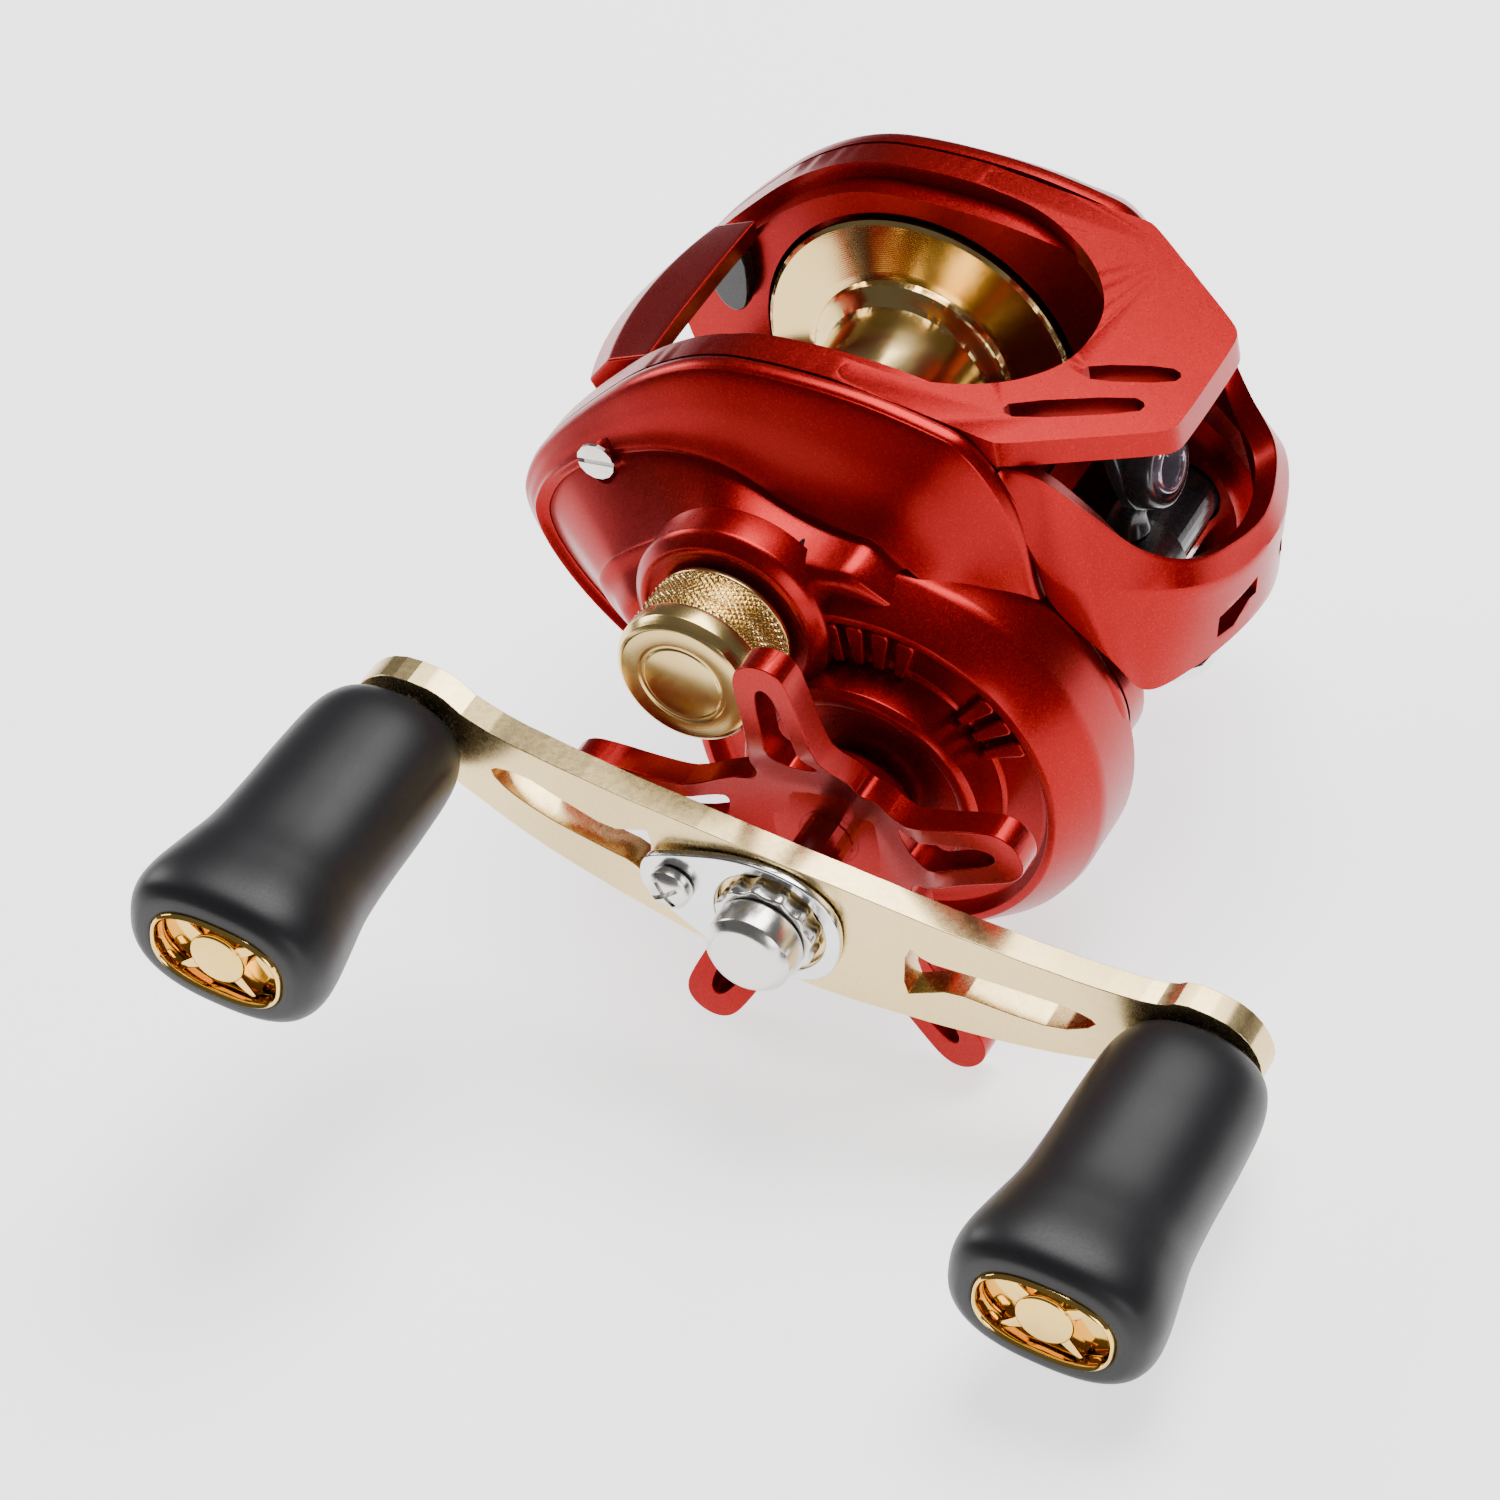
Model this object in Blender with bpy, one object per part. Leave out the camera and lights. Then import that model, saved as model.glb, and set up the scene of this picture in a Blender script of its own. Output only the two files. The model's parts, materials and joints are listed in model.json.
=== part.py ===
"""Low-profile baitcasting reel, right-hand retrieve.

Every number below is in millimetres, measured from the spool's axis on the reel's centre plane:
X towards the handle, Y towards the rod tip, Z up. put() turns them into metres and moves the
origin to the centre of the foot's underside.
"""
import math

import bmesh
import bpy
from mathutils import Matrix, Vector

MM = 0.001
SPOOL_ABOVE_FOOT = 21.0      # height of the spool's axis over the foot's underside
SPOOL_BEHIND_FOOT = 4.0      # the spool sits this far behind the foot's middle
FOOT_SIZE = (12.5, 57.0, 2.4)
FOOT_FLAT = 32.0             # length of the foot's full thickness; it thins to the tips beyond that
FOOT_TIP = 0.9

SPOOL_R = 16.0
SPOOL_HALF_WIDTH = 11.6
RING_IN, RING_OUT = 11.4, 17.0          # the frame's side rings, inner and outer face
RING_BORE = 16.5
COVER_IN = 17.3                         # where each side cover starts
COVER_STEPS = (17.3, 19.5, 24.0, 28.0, 29.6)
PALM_STEPS = (17.3, 19.5, 23.0, 25.6, 26.6)
WALL = 1.7

DRIVE = (11.5, -16.2)                   # Y, Z of the drive shaft
HOUSING_R = 21.0
HANDLE_ANGLE = math.radians(-15)
KNOB_OFFSET = 40.0
ARM_THICKNESS = 3.0
ARM_FACE = ((0, 49.0), (8, 48.8), (16, 48.2), (23, 47.4), (28, 46.6), (33, 45.5), (37, 44.4), (47, 44.4))
STAR_FIRST_ANGLE = math.radians(91)

DRIVE_TEETH, PINION_TEETH = 72, 10
LEVEL_TEETH, IDLER_TEETH, WORM_TEETH = 24, 12, 12
LEVEL_MODULE = 0.5
LEVEL_ANGLE = math.radians(20)          # direction from the drive shaft to the worm
CENTRE_DISTANCE = math.hypot(*DRIVE)
DRIVE_MODULE = 2 * CENTRE_DISTANCE / (DRIVE_TEETH + PINION_TEETH)
IDLER_AT = LEVEL_MODULE * (LEVEL_TEETH + IDLER_TEETH) / 2
WORM_AT = IDLER_AT + LEVEL_MODULE * (IDLER_TEETH + WORM_TEETH) / 2

RING_OUTLINE = [(-28, 0), (-26, 5), (-22.5, 8.8), (-17.6, 13), (-12, 17.3), (-5, 20.3), (2, 20.3),
                (10.5, 19.1), (17, 17.1), (21.5, 15.3), (25.5, 7), (25.6, -2.5), (31.2, -7.6), (33, -15),
                (29, -20.8), (-8, -20.8), (-18, -16.5), (-24.5, -8.5)]
COVER_CENTRE = (2.0, -5.0)              # every cover outline is read outwards from here

RED = ((0.32, 0.008, 0.01), 0.32, 0.85)
GOLD = ((0.80, 0.62, 0.32), 0.2, 1.0)
STEEL = ((0.62, 0.62, 0.63), 0.25, 1.0)
BRASS = ((0.72, 0.52, 0.22), 0.3, 1.0)
BLACK = ((0.012, 0.012, 0.013), 0.3, 0.0)
RUBBER = ((0.02, 0.02, 0.022), 0.55, 0.0)
CARBON = ((0.03, 0.03, 0.03), 0.7, 0.0)
CERAMIC = ((0.3, 0.3, 0.34), 0.12, 0.6)


# ---------------------------------------------------------------- helpers

def polar(radius, angle, centre=(0.0, 0.0)):
    return (centre[0] + radius * math.cos(angle), centre[1] + radius * math.sin(angle))


def circle(radius, sides, centre=(0.0, 0.0), turn=0.0):
    return [polar(radius, turn + math.tau * i / sides, centre) for i in range(sides)]


def rounded(points, passes=2):
    """Cut the corners of a closed outline, again and again."""
    for _ in range(passes):
        cut = []
        for a, b in zip(points, points[1:] + points[:1]):
            cut.append((0.75 * a[0] + 0.25 * b[0], 0.75 * a[1] + 0.25 * b[1]))
            cut.append((0.25 * a[0] + 0.75 * b[0], 0.25 * a[1] + 0.75 * b[1]))
        points = cut
    return points


def reach(outline, origin, angle):
    """How far a ray from origin goes before it leaves a closed outline for good."""
    dy, dz = math.cos(angle), math.sin(angle)
    far = 0.0
    for a, b in zip(outline, outline[1:] + outline[:1]):
        ey, ez = b[0] - a[0], b[1] - a[1]
        cross = dy * ez - dz * ey
        if abs(cross) < 1e-12:
            continue
        oy, oz = a[0] - origin[0], a[1] - origin[1]
        along = (oy * ez - oz * ey) / cross
        across = (oy * dz - oz * dy) / cross
        if along > 0 and -1e-9 <= across <= 1 + 1e-9:
            far = max(far, along)
    return far


def shifted(outline, inset, centre=COVER_CENTRE):
    """Pull an outline towards its centre by the same distance everywhere."""
    result = []
    for y, z in outline:
        away = math.hypot(y - centre[0], z - centre[1])
        k = (away - inset) / away
        result.append((centre[0] + (y - centre[0]) * k, centre[1] + (z - centre[1]) * k))
    return result


def material(name, look):
    colour, roughness, metallic = look
    made = bpy.data.materials.new(name)
    made.use_nodes = True
    shader = made.node_tree.nodes["Principled BSDF"]
    shader.inputs["Base Color"].default_value = (*colour, 1)
    shader.inputs["Roughness"].default_value = roughness
    shader.inputs["Metallic"].default_value = metallic
    made.diffuse_color = (*colour, 1)
    return made


def put(name, mesh, look, axis=(0.0, 0.0, 0.0)):
    """Make a named object whose own origin lies at axis."""
    bmesh.ops.remove_doubles(mesh, verts=mesh.verts, dist=1e-6)
    bmesh.ops.recalc_face_normals(mesh, faces=mesh.faces)
    bmesh.ops.translate(mesh, verts=mesh.verts, vec=-Vector(axis))
    bmesh.ops.scale(mesh, verts=mesh.verts, vec=(MM, MM, MM))
    data = bpy.data.meshes.new(name)
    mesh.to_mesh(data)
    mesh.free()
    piece = bpy.data.objects.new(name, data)
    bpy.context.collection.objects.link(piece)
    piece.location = (Vector(axis) + Vector((0, -SPOOL_BEHIND_FOOT, SPOOL_ABOVE_FOOT))) * MM
    data.materials.append(material(name, look))
    return piece


def mirrored(points):
    """The same points on the other side, in the opposite order."""
    return [(-x, y) for x, y in reversed(list(points))]


def loft(rings):
    """Join rings of points into one closed skin; the first and last ring are capped."""
    mesh = bmesh.new()
    rows = [[mesh.verts.new(p) for p in ring] for ring in rings]
    for low, high in zip(rows, rows[1:]):
        for i in range(len(low)):
            j = (i + 1) % len(low)
            mesh.faces.new((low[i], low[j], high[j], high[i]))
    mesh.faces.new(rows[0])
    mesh.faces.new(rows[-1])
    return mesh


def prism(outline, x0, x1):
    """An outline in Y and Z, drawn out along X."""
    return loft([[(x, y, z) for y, z in outline] for x in (x0, x1)])


def turned(profile, centre=(0.0, 0.0), sides=32):
    """Spin (x, radius) points about an axis along X; an open profile starts and ends on the axis."""
    mesh = bmesh.new()
    points = [mesh.verts.new((x, r, 0)) for x, r in profile]
    edges = [mesh.edges.new(pair) for pair in zip(points, points[1:])]
    if profile[0][1] > 0:
        edges.append(mesh.edges.new((points[-1], points[0])))
    bmesh.ops.spin(mesh, geom=points + edges, axis=(1, 0, 0), cent=(0, 0, 0),
                   angle=math.tau, steps=sides, use_merge=True, use_duplicate=False)
    bmesh.ops.remove_doubles(mesh, verts=mesh.verts, dist=1e-5)
    bmesh.ops.translate(mesh, verts=mesh.verts, vec=(0, *centre))
    return mesh


def rod(x0, x1, radius, centre=(0.0, 0.0), sides=24):
    return turned([(x0, 0), (x0, radius), (x1, radius), (x1, 0)], centre, sides)


def ring(x0, x1, inner, outer, centre=(0.0, 0.0), sides=32):
    return turned([(x0, inner), (x0, outer), (x1, outer), (x1, inner)], centre, sides)


def block(low, high):
    mesh = bmesh.new()
    size = Vector(high) - Vector(low)
    bmesh.ops.create_cube(mesh, size=1, matrix=Matrix.Diagonal((*size, 1)))
    bmesh.ops.translate(mesh, verts=mesh.verts, vec=(Vector(high) + Vector(low)) / 2)
    return mesh


def upright(outline, z0, z1):
    """An outline in X and Y, drawn out along Z."""
    return loft([[(x, y, z) for x, y in outline] for z in (z0, z1)])


def combine(piece, operation, meshes, solver="EXACT"):
    """Cut meshes from a piece, or join them to it, with Booleans."""
    for mesh in meshes:
        tool = put(piece.name + "_tool", mesh, BLACK)
        change = piece.modifiers.new("combine", "BOOLEAN")
        change.operation = operation
        change.solver = solver
        change.object = tool
        bpy.context.view_layer.update()
        seen = piece.evaluated_get(bpy.context.evaluated_depsgraph_get())
        result = bpy.data.meshes.new_from_object(seen)
        piece.modifiers.clear()
        piece.data = result
        bpy.data.objects.remove(tool)
    return piece


def cut(piece, *meshes):
    return combine(piece, "DIFFERENCE", meshes)


def join(piece, *meshes):
    return combine(piece, "UNION", meshes)


def involute(base, radius):
    """The angle that an involute has turned through where it crosses a radius."""
    slope = math.sqrt(max((radius / base) ** 2 - 1, 0))
    return slope - math.atan(slope)


def gear_outline(teeth, module, centre, first, thin=0.40):
    """Stub involute teeth with backlash; one tooth is centred on the angle `first`."""
    pitch = teeth * module / 2
    base = pitch * math.cos(math.radians(20))
    root, tip = pitch - 0.85 * module, pitch + 0.6 * module
    half = thin * math.pi / teeth
    flank = []
    for radius in (root, pitch, tip) if teeth > 10 else (root, base, pitch, tip):
        turn = half + involute(base, pitch) - involute(base, max(radius, base))
        flank.append((radius, turn))
    points = []
    for k in range(teeth):
        middle = first + math.tau * k / teeth
        points += [polar(r, middle - a, centre) for r, a in flank]
        points += [polar(r, middle + a, centre) for r, a in reversed(flank)]
    return points


# ---------------------------------------------------------------- shapes shared by several pieces

def side_outline(inset, housing=0.0, sides=40, turn=0.013):
    """The ring's outline joined with the round gear housing, both pulled in."""
    body = shifted(rounded(RING_OUTLINE, 1), inset)
    drum = circle(housing, 96, DRIVE) if housing else None
    points = []
    for i in range(sides):
        angle = turn + math.tau * i / sides
        far = reach(body, COVER_CENTRE, angle)
        if drum:
            far = max(far, reach(drum, COVER_CENTRE, angle))
        points.append(polar(far, angle, COVER_CENTRE))
    return points


def cover_skin(steps, insets, housings):
    rings = []
    for x, inset, housing in zip(steps, insets, housings):
        rings.append([(x, y, z) for y, z in side_outline(inset, housing)])
    return loft(rings)


def bearing(name, x0, x1, inner, outer, centre=(0.0, 0.0)):
    """A shielded ball bearing, its races and balls as one ring."""
    return put(name, ring(x0, x1, inner, outer, centre, 20), STEEL, (0, *centre))


def cap_screw(name, x_tip, x_head, centre, radius=0.9, head=1.9, sign=1):
    """A screw along X with a slot across its head; sign points out of the head."""
    profile = [(x_tip, 0), (x_tip, radius), (x_head - sign * 1.0, radius),
               (x_head - sign * 0.4, head), (x_head, head), (x_head, 0)]
    screw = put(name, turned(profile, centre, 14), STEEL, (0, *centre))
    y, z = centre
    inner, outer = sorted((x_head - sign * 0.6, x_head + sign * 1.0))
    return cut(screw, block((inner, y - head * 1.1, z - 0.25), (outer, y + head * 1.1, z + 0.25)))


# ---------------------------------------------------------------- the frame and its covers

IDLER = polar(IDLER_AT, LEVEL_ANGLE, DRIVE)
WORM = polar(WORM_AT, LEVEL_ANGLE, DRIVE)
GUIDE_ROD = (WORM[0] + 1.0, WORM[1] - 4.6)
PALM_SCREWS = ((-20.0, 3.0), (14.0, 13.0), (19.0, -15.5))
COVER_SCREWS = ((-16.4, 8.8), (-14.0, -15.0))


def make_frame():
    frame = put("frame", prism(rounded(RING_OUTLINE, 1), -RING_OUT, RING_OUT), RED)
    clear = 30.0
    throat = circle(RING_BORE, 44)
    cut(frame, prism(throat, -clear, clear))
    # between the rings only the bridge under the spool and the rear bar stay
    room = [(-32, -6.5), (-22.5, -6.5), (-19.5, -4.0), (-14.5, -4.0), (0, -4), (18.3, -6.3),
            (18.3, -17.2), (29.5, -17.2), (29.5, -19.4), (40, -19.4), (40, 25), (-32, 25)]
    cut(frame, prism(room, -RING_IN, RING_IN))
    under = [(-40, -30), (-40, -8.8), (-23.5, -8.8), (-17.6, -13.8), (-10, -18.3), (40, -18.3), (40, -30)]
    cut(frame, prism(under, -RING_IN, RING_IN))
    cut(frame, rod(-clear, clear, 2.65, DRIVE, 28), rod(-15.2, clear, 1.6, WORM))
    hood_seat = [(11.8, 30), (11.8, 15.6), (24.5, 12.2), (40, 11.9), (40, 30)]
    cut(frame, prism(hood_seat, -clear, clear))
    cut(frame, rod(-15.2, 15.2, 1.0, GUIDE_ROD, 16), prism(circle(3.75, 24, WORM), -12.6, 12.6))
    for y, z in PALM_SCREWS:
        cut(frame, rod(-clear, -13.0, 1.05, (y, z), 16))
    for y, z in COVER_SCREWS:
        cut(frame, rod(13.0, clear, 1.05, (y, z), 16))
    return frame


def make_hood():
    """The sloping top plate over the line guide, with two slots and a blunt nose."""
    rear, front, drop = 21.3, 36.0, math.tan(math.radians(14.7))
    half = [(17.2, 12.0), (17.2, 23.6), (8.2, 34.6), (6.0, front)]
    window = [(0, 24.8), (4.2, 24.2), (7.6, 22.5), (10.4, 19.8), (12.5, 16.6), (13.7, 13.4), (14.0, 12.0)]
    outline = half + mirrored(half) + mirrored(window) + window[1:]
    rings = []
    for depth in (0.0, -2.6):
        rings.append([(x, y, 15.9 + depth - (y - rear) * drop) for x, y in outline])
    hood = put("top_hood", loft(rings), RED)
    for x0, y0, x1, y1 in ((4.3, 26.8, 0.9, 32.8), (12.4, 22.9, 6.2, 31.6)):
        along = Vector((x1 - x0, y1 - y0)).normalized() * 1.0
        side = Vector((-along.y, along.x)) * 1.0
        start, end = Vector((x0, y0)), Vector((x1, y1))
        slot = [start + side, start - along, start - side, end - side, end + along, end + side]
        cut(hood, upright([tuple(p) for p in slot], 0, 30))
    return hood


# half of the cowl's path, each station from the window's edge out over the crest, down and back inside
COWL_STATIONS = [
    ((16.8, 23.4, 12.4), (17.6, 22.9, 12.0), (17.6, 26.1, 6.5), (15.0, 26.1, 6.5), (15.0, 23.6, 12.2)),
    ((16.5, 26.9, 11.4), (18.2, 26.3, 3.0), (18.2, 26.5, -0.6), (15.4, 26.5, -0.6), (14.6, 26.8, 10.6)),
    ((14.4, 30.2, 6.6), (17.0, 29.9, 0.0), (17.6, 31.8, -7.4), (14.8, 31.4, -7.0), (12.8, 29.8, 5.6)),
    ((12.1, 33.5, 1.6), (14.2, 33.0, -1.9), (15.4, 33.6, -12.0), (13.2, 32.6, -11.0), (10.8, 32.2, 0.2)),
    ((9.0, 37.0, -1.0), (10.6, 37.2, -3.3), (9.8, 35.9, -13.1), (8.6, 33.8, -12.2), (8.0, 35.2, -2.2)),
    ((4.5, 38.9, -2.0), (5.6, 39.4, -4.7), (4.8, 37.9, -12.7), (4.2, 35.6, -11.8), (4.0, 36.8, -3.2)),
    ((0.0, 39.6, -2.4), (0.0, 40.5, -4.5), (0.0, 38.8, -12.3), (0.0, 36.4, -11.6), (0.0, 37.3, -3.6)),
]


def make_cowl():
    """The band that carries the line window round the front, the same on both sides."""
    other = [[(-x, y, z) for x, y, z in station] for station in reversed(COWL_STATIONS[:-1])]
    cowl = put("front_cowl", loft(COWL_STATIONS + other), RED)
    for side in (1, -1):
        slot = [(2.6 * side, -7.4), (7.6 * side, -8.8), (7.6 * side, -11.2), (5.6 * side, -11.2),
                (3.6 * side, -9.4), (2.6 * side, -9.4)]
        cut(cowl, loft([[(x, y, z) for x, z in slot] for y in (30, 45)]))
    return cowl


def make_foot():
    width, length, thick = FOOT_SIZE
    base, middle = -SPOOL_ABOVE_FOOT, SPOOL_BEHIND_FOOT
    outline = []
    for i in range(40):
        angle = math.tau * i / 40
        c, s = math.cos(angle), math.sin(angle)
        outline.append((width / 2 * math.copysign(abs(c) ** 0.6, c),
                        middle + length / 2 * math.copysign(abs(s) ** 0.8, s)))
    foot = put("reel_foot", upright(outline, base, base + thick), STEEL)
    slope = (thick - FOOT_TIP) / (length - FOOT_FLAT) * 2
    for end in (1, -1):
        y0, y1 = middle + end * FOOT_FLAT / 2, middle + end * (length / 2 + 1)
        top, tip = base + thick, base + FOOT_TIP - slope
        ramp = [(-10, y0, top), (10, y0, top), (10, y1, tip), (-10, y1, tip)]
        cut(foot, loft([ramp, [(x, y, base + 8) for x, y, _ in ramp]]))
    for y in (middle - 6, middle + 6):
        cut(foot, upright(circle(1.3, 16, (0, y)), base - 1, base + 6))
    return foot


def hollow_out(cover, skin, bosses, x0, x1):
    """Take a skin's inside out of a cover, but leave a solid boss round each screw."""
    hollow = put("hollow", skin, BLACK)
    combine(hollow, "DIFFERENCE", [rod(x0, x1, 3.2, centre, 12) for centre in bosses], "MANIFOLD")
    change = cover.modifiers.new("hollow", "BOOLEAN")
    change.operation = "DIFFERENCE"
    change.solver = "MANIFOLD"
    change.object = hollow
    bpy.context.view_layer.update()
    seen = cover.evaluated_get(bpy.context.evaluated_depsgraph_get())
    result = bpy.data.meshes.new_from_object(seen)
    cover.modifiers.clear()
    cover.data = result
    bpy.data.objects.remove(hollow)


def make_handle_cover():
    insets = (0.0, 0.9, 4.2, 9.5, 11.5)
    housings = (HOUSING_R, HOUSING_R, HOUSING_R, 19.2, 18.0)
    cover = put("handle_side_cover", cover_skin(COVER_STEPS, insets, housings), RED)
    inner_steps = (COVER_IN - 1, 19.9, 23.7, 26.4, 27.9)
    inner_housings = [HOUSING_R - WALL] * 3 + [17.4, 16.4]
    inner_insets = (WALL, WALL + 0.9, WALL + 4.4, WALL + 7.5, WALL + 10.5)
    hollow_out(cover, cover_skin(inner_steps, inner_insets, inner_housings), COVER_SCREWS, 10, 40)
    # the groove round the drive boss, the boss, and the threaded neck for the cast control
    combine(cover, "DIFFERENCE", [ring(28.8, 40, 12.6, 17.2, DRIVE, 32)], "MANIFOLD")
    added = [rod(28.2, 31.2, 11.5, DRIVE, 36), rod(28.3, 30.2, 8.0, (0, 0), 28), rod(29.0, 35.9, 5.5)]
    combine(cover, "UNION", added, "MANIFOLD")
    bores = [rod(24, 40, 4.35, (0, 0), 28), rod(20, 40, 7.2, DRIVE, 32)]
    bores += [rod(20.2, 40, 2.2, centre, 14) for centre in COVER_SCREWS]
    bores += [rod(10, 40, 1.1, centre, 10) for centre in COVER_SCREWS]
    combine(cover, "DIFFERENCE", bores, "MANIFOLD")
    return cover


def make_palm_cover():
    insets = (0.0, 0.7, 3.4, 7.0, 9.5)
    cover = put("palm_side_cover", cover_skin([-x for x in PALM_STEPS], insets, [0] * 5), RED)
    inner = [-x for x in (16.0, 19.6, 22.0, 24.0, 24.9)]
    inner_insets = (WALL, WALL + 0.7, WALL + 3.2, WALL + 6.0, WALL + 8.0)
    hollow_out(cover, cover_skin(inner, inner_insets, [0] * 5), PALM_SCREWS, -40, -10)
    combine(cover, "DIFFERENCE", [rod(-30, -25.6, 11.3, sides=28)], "MANIFOLD")
    combine(cover, "UNION", [rod(-26.0, -19.2, 5.4)], "MANIFOLD")
    bores = [rod(-23.4, -15, 4.0)]
    bores += [rod(-40, -20.2, 2.2, centre, 14) for centre in PALM_SCREWS]
    bores += [rod(-40, -10, 1.1, centre, 10) for centre in PALM_SCREWS]
    combine(cover, "DIFFERENCE", bores, "MANIFOLD")
    return cover


def make_gear_plate():
    plate = put("gear_plate", prism(side_outline(WALL + 0.6, HOUSING_R - WALL - 0.4), COVER_IN, 18.5), STEEL)
    cut(plate, rod(10, 25, 4.6), rod(10, 25, 3.9, DRIVE), rod(10, 25, 1.75, WORM))
    cut(plate, rod(10, 25, 0.95, IDLER, 16))
    for y, z in COVER_SCREWS:
        cut(plate, rod(10, 25, 3.6, (y, z), 12))
    for y, z in YOKE_POSTS:
        cut(plate, rod(10, 25, 1.05, (y, z), 16))
    return plate


# ---------------------------------------------------------------- clutch

YOKE_TILT = math.atan2(-DRIVE[1], -DRIVE[0]) - math.pi / 2
YOKE_POSTS = [polar(7.5, YOKE_TILT + side, (0, 0)) for side in (0, math.pi)]
YOKE_X = (24.75, 25.65)
YOKE_LEG = 21.0
SPRING_X = (25.2, 27.6)                 # the yoke's return springs, at their squeezed length


def make_clutch():
    cam = put("clutch_cam", ring(18.8, 20.0, 4.0, 6.0, sides=40), BRASS)
    arm = [polar(5.6, math.radians(165)), polar(12.4, math.radians(176)),
           polar(12.4, math.radians(184)), polar(5.6, math.radians(195))]
    join(cam, prism(arm, 18.8, 20.0))
    yoke_outline = [polar(r, YOKE_TILT + math.radians(a)) for r, a in
                    ((9.6, -12), (9.6, 12), (6.0, 26), (3.6, 60), (3.6, 120), (6.0, 154),
                     (9.6, 168), (9.6, 192), (6.4, 202), (2.6, 215), (2.6, -35), (6.4, -22))]
    yoke = put("clutch_yoke", prism(yoke_outline, *YOKE_X), BLACK)
    seat = circle(2.1, 32)
    mouth = [polar(r, YOKE_TILT + math.radians(a)) for r, a in ((2.1, 0), (2.1, 180), (6, 200), (6, -20))]
    cut(yoke, prism(seat, 20, 30), prism(mouth, 20, 30))
    for number, centre in enumerate(YOKE_POSTS, 1):
        join(yoke, rod(YOKE_LEG, YOKE_X[1] - 0.1, 1.9, centre, 20))
        cut(yoke, rod(20, 30, 0.9, centre, 20), rod(23.6, 30, 1.5, centre, 20))
        put(f"yoke_post_{number}", rod(17.4, 27.6, 0.8, centre, 20), STEEL, (0, *centre))
        put(f"yoke_spring_{number}", ring(*SPRING_X, 0.95, 1.4, centre, 14), STEEL, (0, *centre))


# ---------------------------------------------------------------- spool and its shaft

def make_spool():
    half, rim = SPOOL_HALF_WIDTH, SPOOL_R
    side = [(half - 0.1, rim), (half - 1.1, rim - 0.2), (9.3, 10.2), (8.3, 9.2), (6.8, 7.3)]
    outer = side + [(0, 7.0)] + [(-x, r) for x, r in reversed(side)]
    inner = [(-half, rim - 0.8), (-9.8, 8.6), (-8.4, 5.6), (8.4, 5.6), (9.8, 8.6), (half, rim - 0.8)]
    spool = put("spool", turned(outer + inner, sides=36), GOLD)
    join(spool, turned([(-1.5, 1.6), (-1.5, 5.9), (1.5, 5.9), (1.5, 1.6)], sides=32))
    shaft = [(-23.0, 0), (-23.0, 1.2), (-14, 1.2), (-14, 1.58), (15.5, 1.58), (15.5, 1.25),
             (35.5, 1.25), (35.9, 0.8), (35.9, 0)]
    put("spool_shaft", turned(shaft, sides=20), STEEL)
    rotor = [(-12.0, 1.62), (-12.0, 9.4), (-15.6, 9.4), (-15.6, 8.7), (-12.7, 8.7), (-13.6, 3.2),
             (-13.6, 1.62)]
    put("brake_rotor", turned(rotor, sides=24), STEEL)
    bearing("palm_bearing", -22.6, -20.4, 1.28, 3.9)
    bearing("cast_bearing", 31.2, 33.4, 1.33, 4.2)
    put("tension_spacer", rod(36.3, 36.9, 3.4, sides=28), BRASS)
    put("brake_magnet_ring", ring(-18.9, -15.9, 9.9, 12.4, sides=32), BLACK)


def make_pinion():
    toward = math.atan2(DRIVE[1], DRIVE[0])
    first = toward + math.pi / PINION_TEETH
    pinion = put("pinion", prism(gear_outline(PINION_TEETH, DRIVE_MODULE, (0, 0), first), 20.3, 24.4), BRASS)
    join(pinion, rod(19.0, 26.6, 1.85, sides=28), rod(25.9, 26.6, 2.6, sides=28))
    cut(pinion, rod(15, 30, 1.35, sides=28))
    return pinion


# ---------------------------------------------------------------- drive shaft, gears and drag

def make_drive():
    axis = (0, *DRIVE)
    shaft = [(12.5, 0), (12.5, 1.6), (17.2, 1.6), (17.2, 2.9), (20.2, 2.9), (20.2, 2.6), (45.8, 2.6),
             (45.8, 2.3), (51.3, 2.3), (51.3, 0)]
    put("drive_shaft", turned(shaft, DRIVE, 20), STEEL, axis)
    bearing("shaft_bearing", 13.0, 15.8, 1.68, 2.6, DRIVE)
    toward = math.atan2(-DRIVE[1], -DRIVE[0])
    teeth = gear_outline(DRIVE_TEETH, DRIVE_MODULE, DRIVE, toward)
    gear = put("drive_gear", prism(teeth, 20.8, 23.4), BRASS, axis)
    cut(gear, rod(15, 30, 2.7, DRIVE, 32), rod(22.2, 30, 14.0, DRIVE, 24))
    put("drag_washer", ring(22.3, 22.9, 3.8, 13.6, DRIVE, 24), CARBON, axis)
    put("pressure_plate", ring(23.0, 24.0, 2.7, 13.4, DRIVE, 24), STEEL, axis)
    level = gear_outline(LEVEL_TEETH, LEVEL_MODULE, DRIVE, LEVEL_ANGLE)
    cut(put("level_wind_gear", prism(level, 18.8, 20.1), BLACK, axis), rod(15, 30, 3.0, DRIVE, 32))
    put("reverse_sleeve", ring(24.4, 31.4, 2.7, 3.7, DRIVE, 32), STEEL, axis)
    bearing("reverse_bearing", 26.0, 30.6, 3.8, 7.0, DRIVE)
    put("drag_spring_washers", turned([(31.7, 2.7), (31.7, 5.2), (32.0, 5.5), (32.9, 2.9), (32.6, 2.7)],
                                      DRIVE, 36), STEEL, axis)


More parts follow.
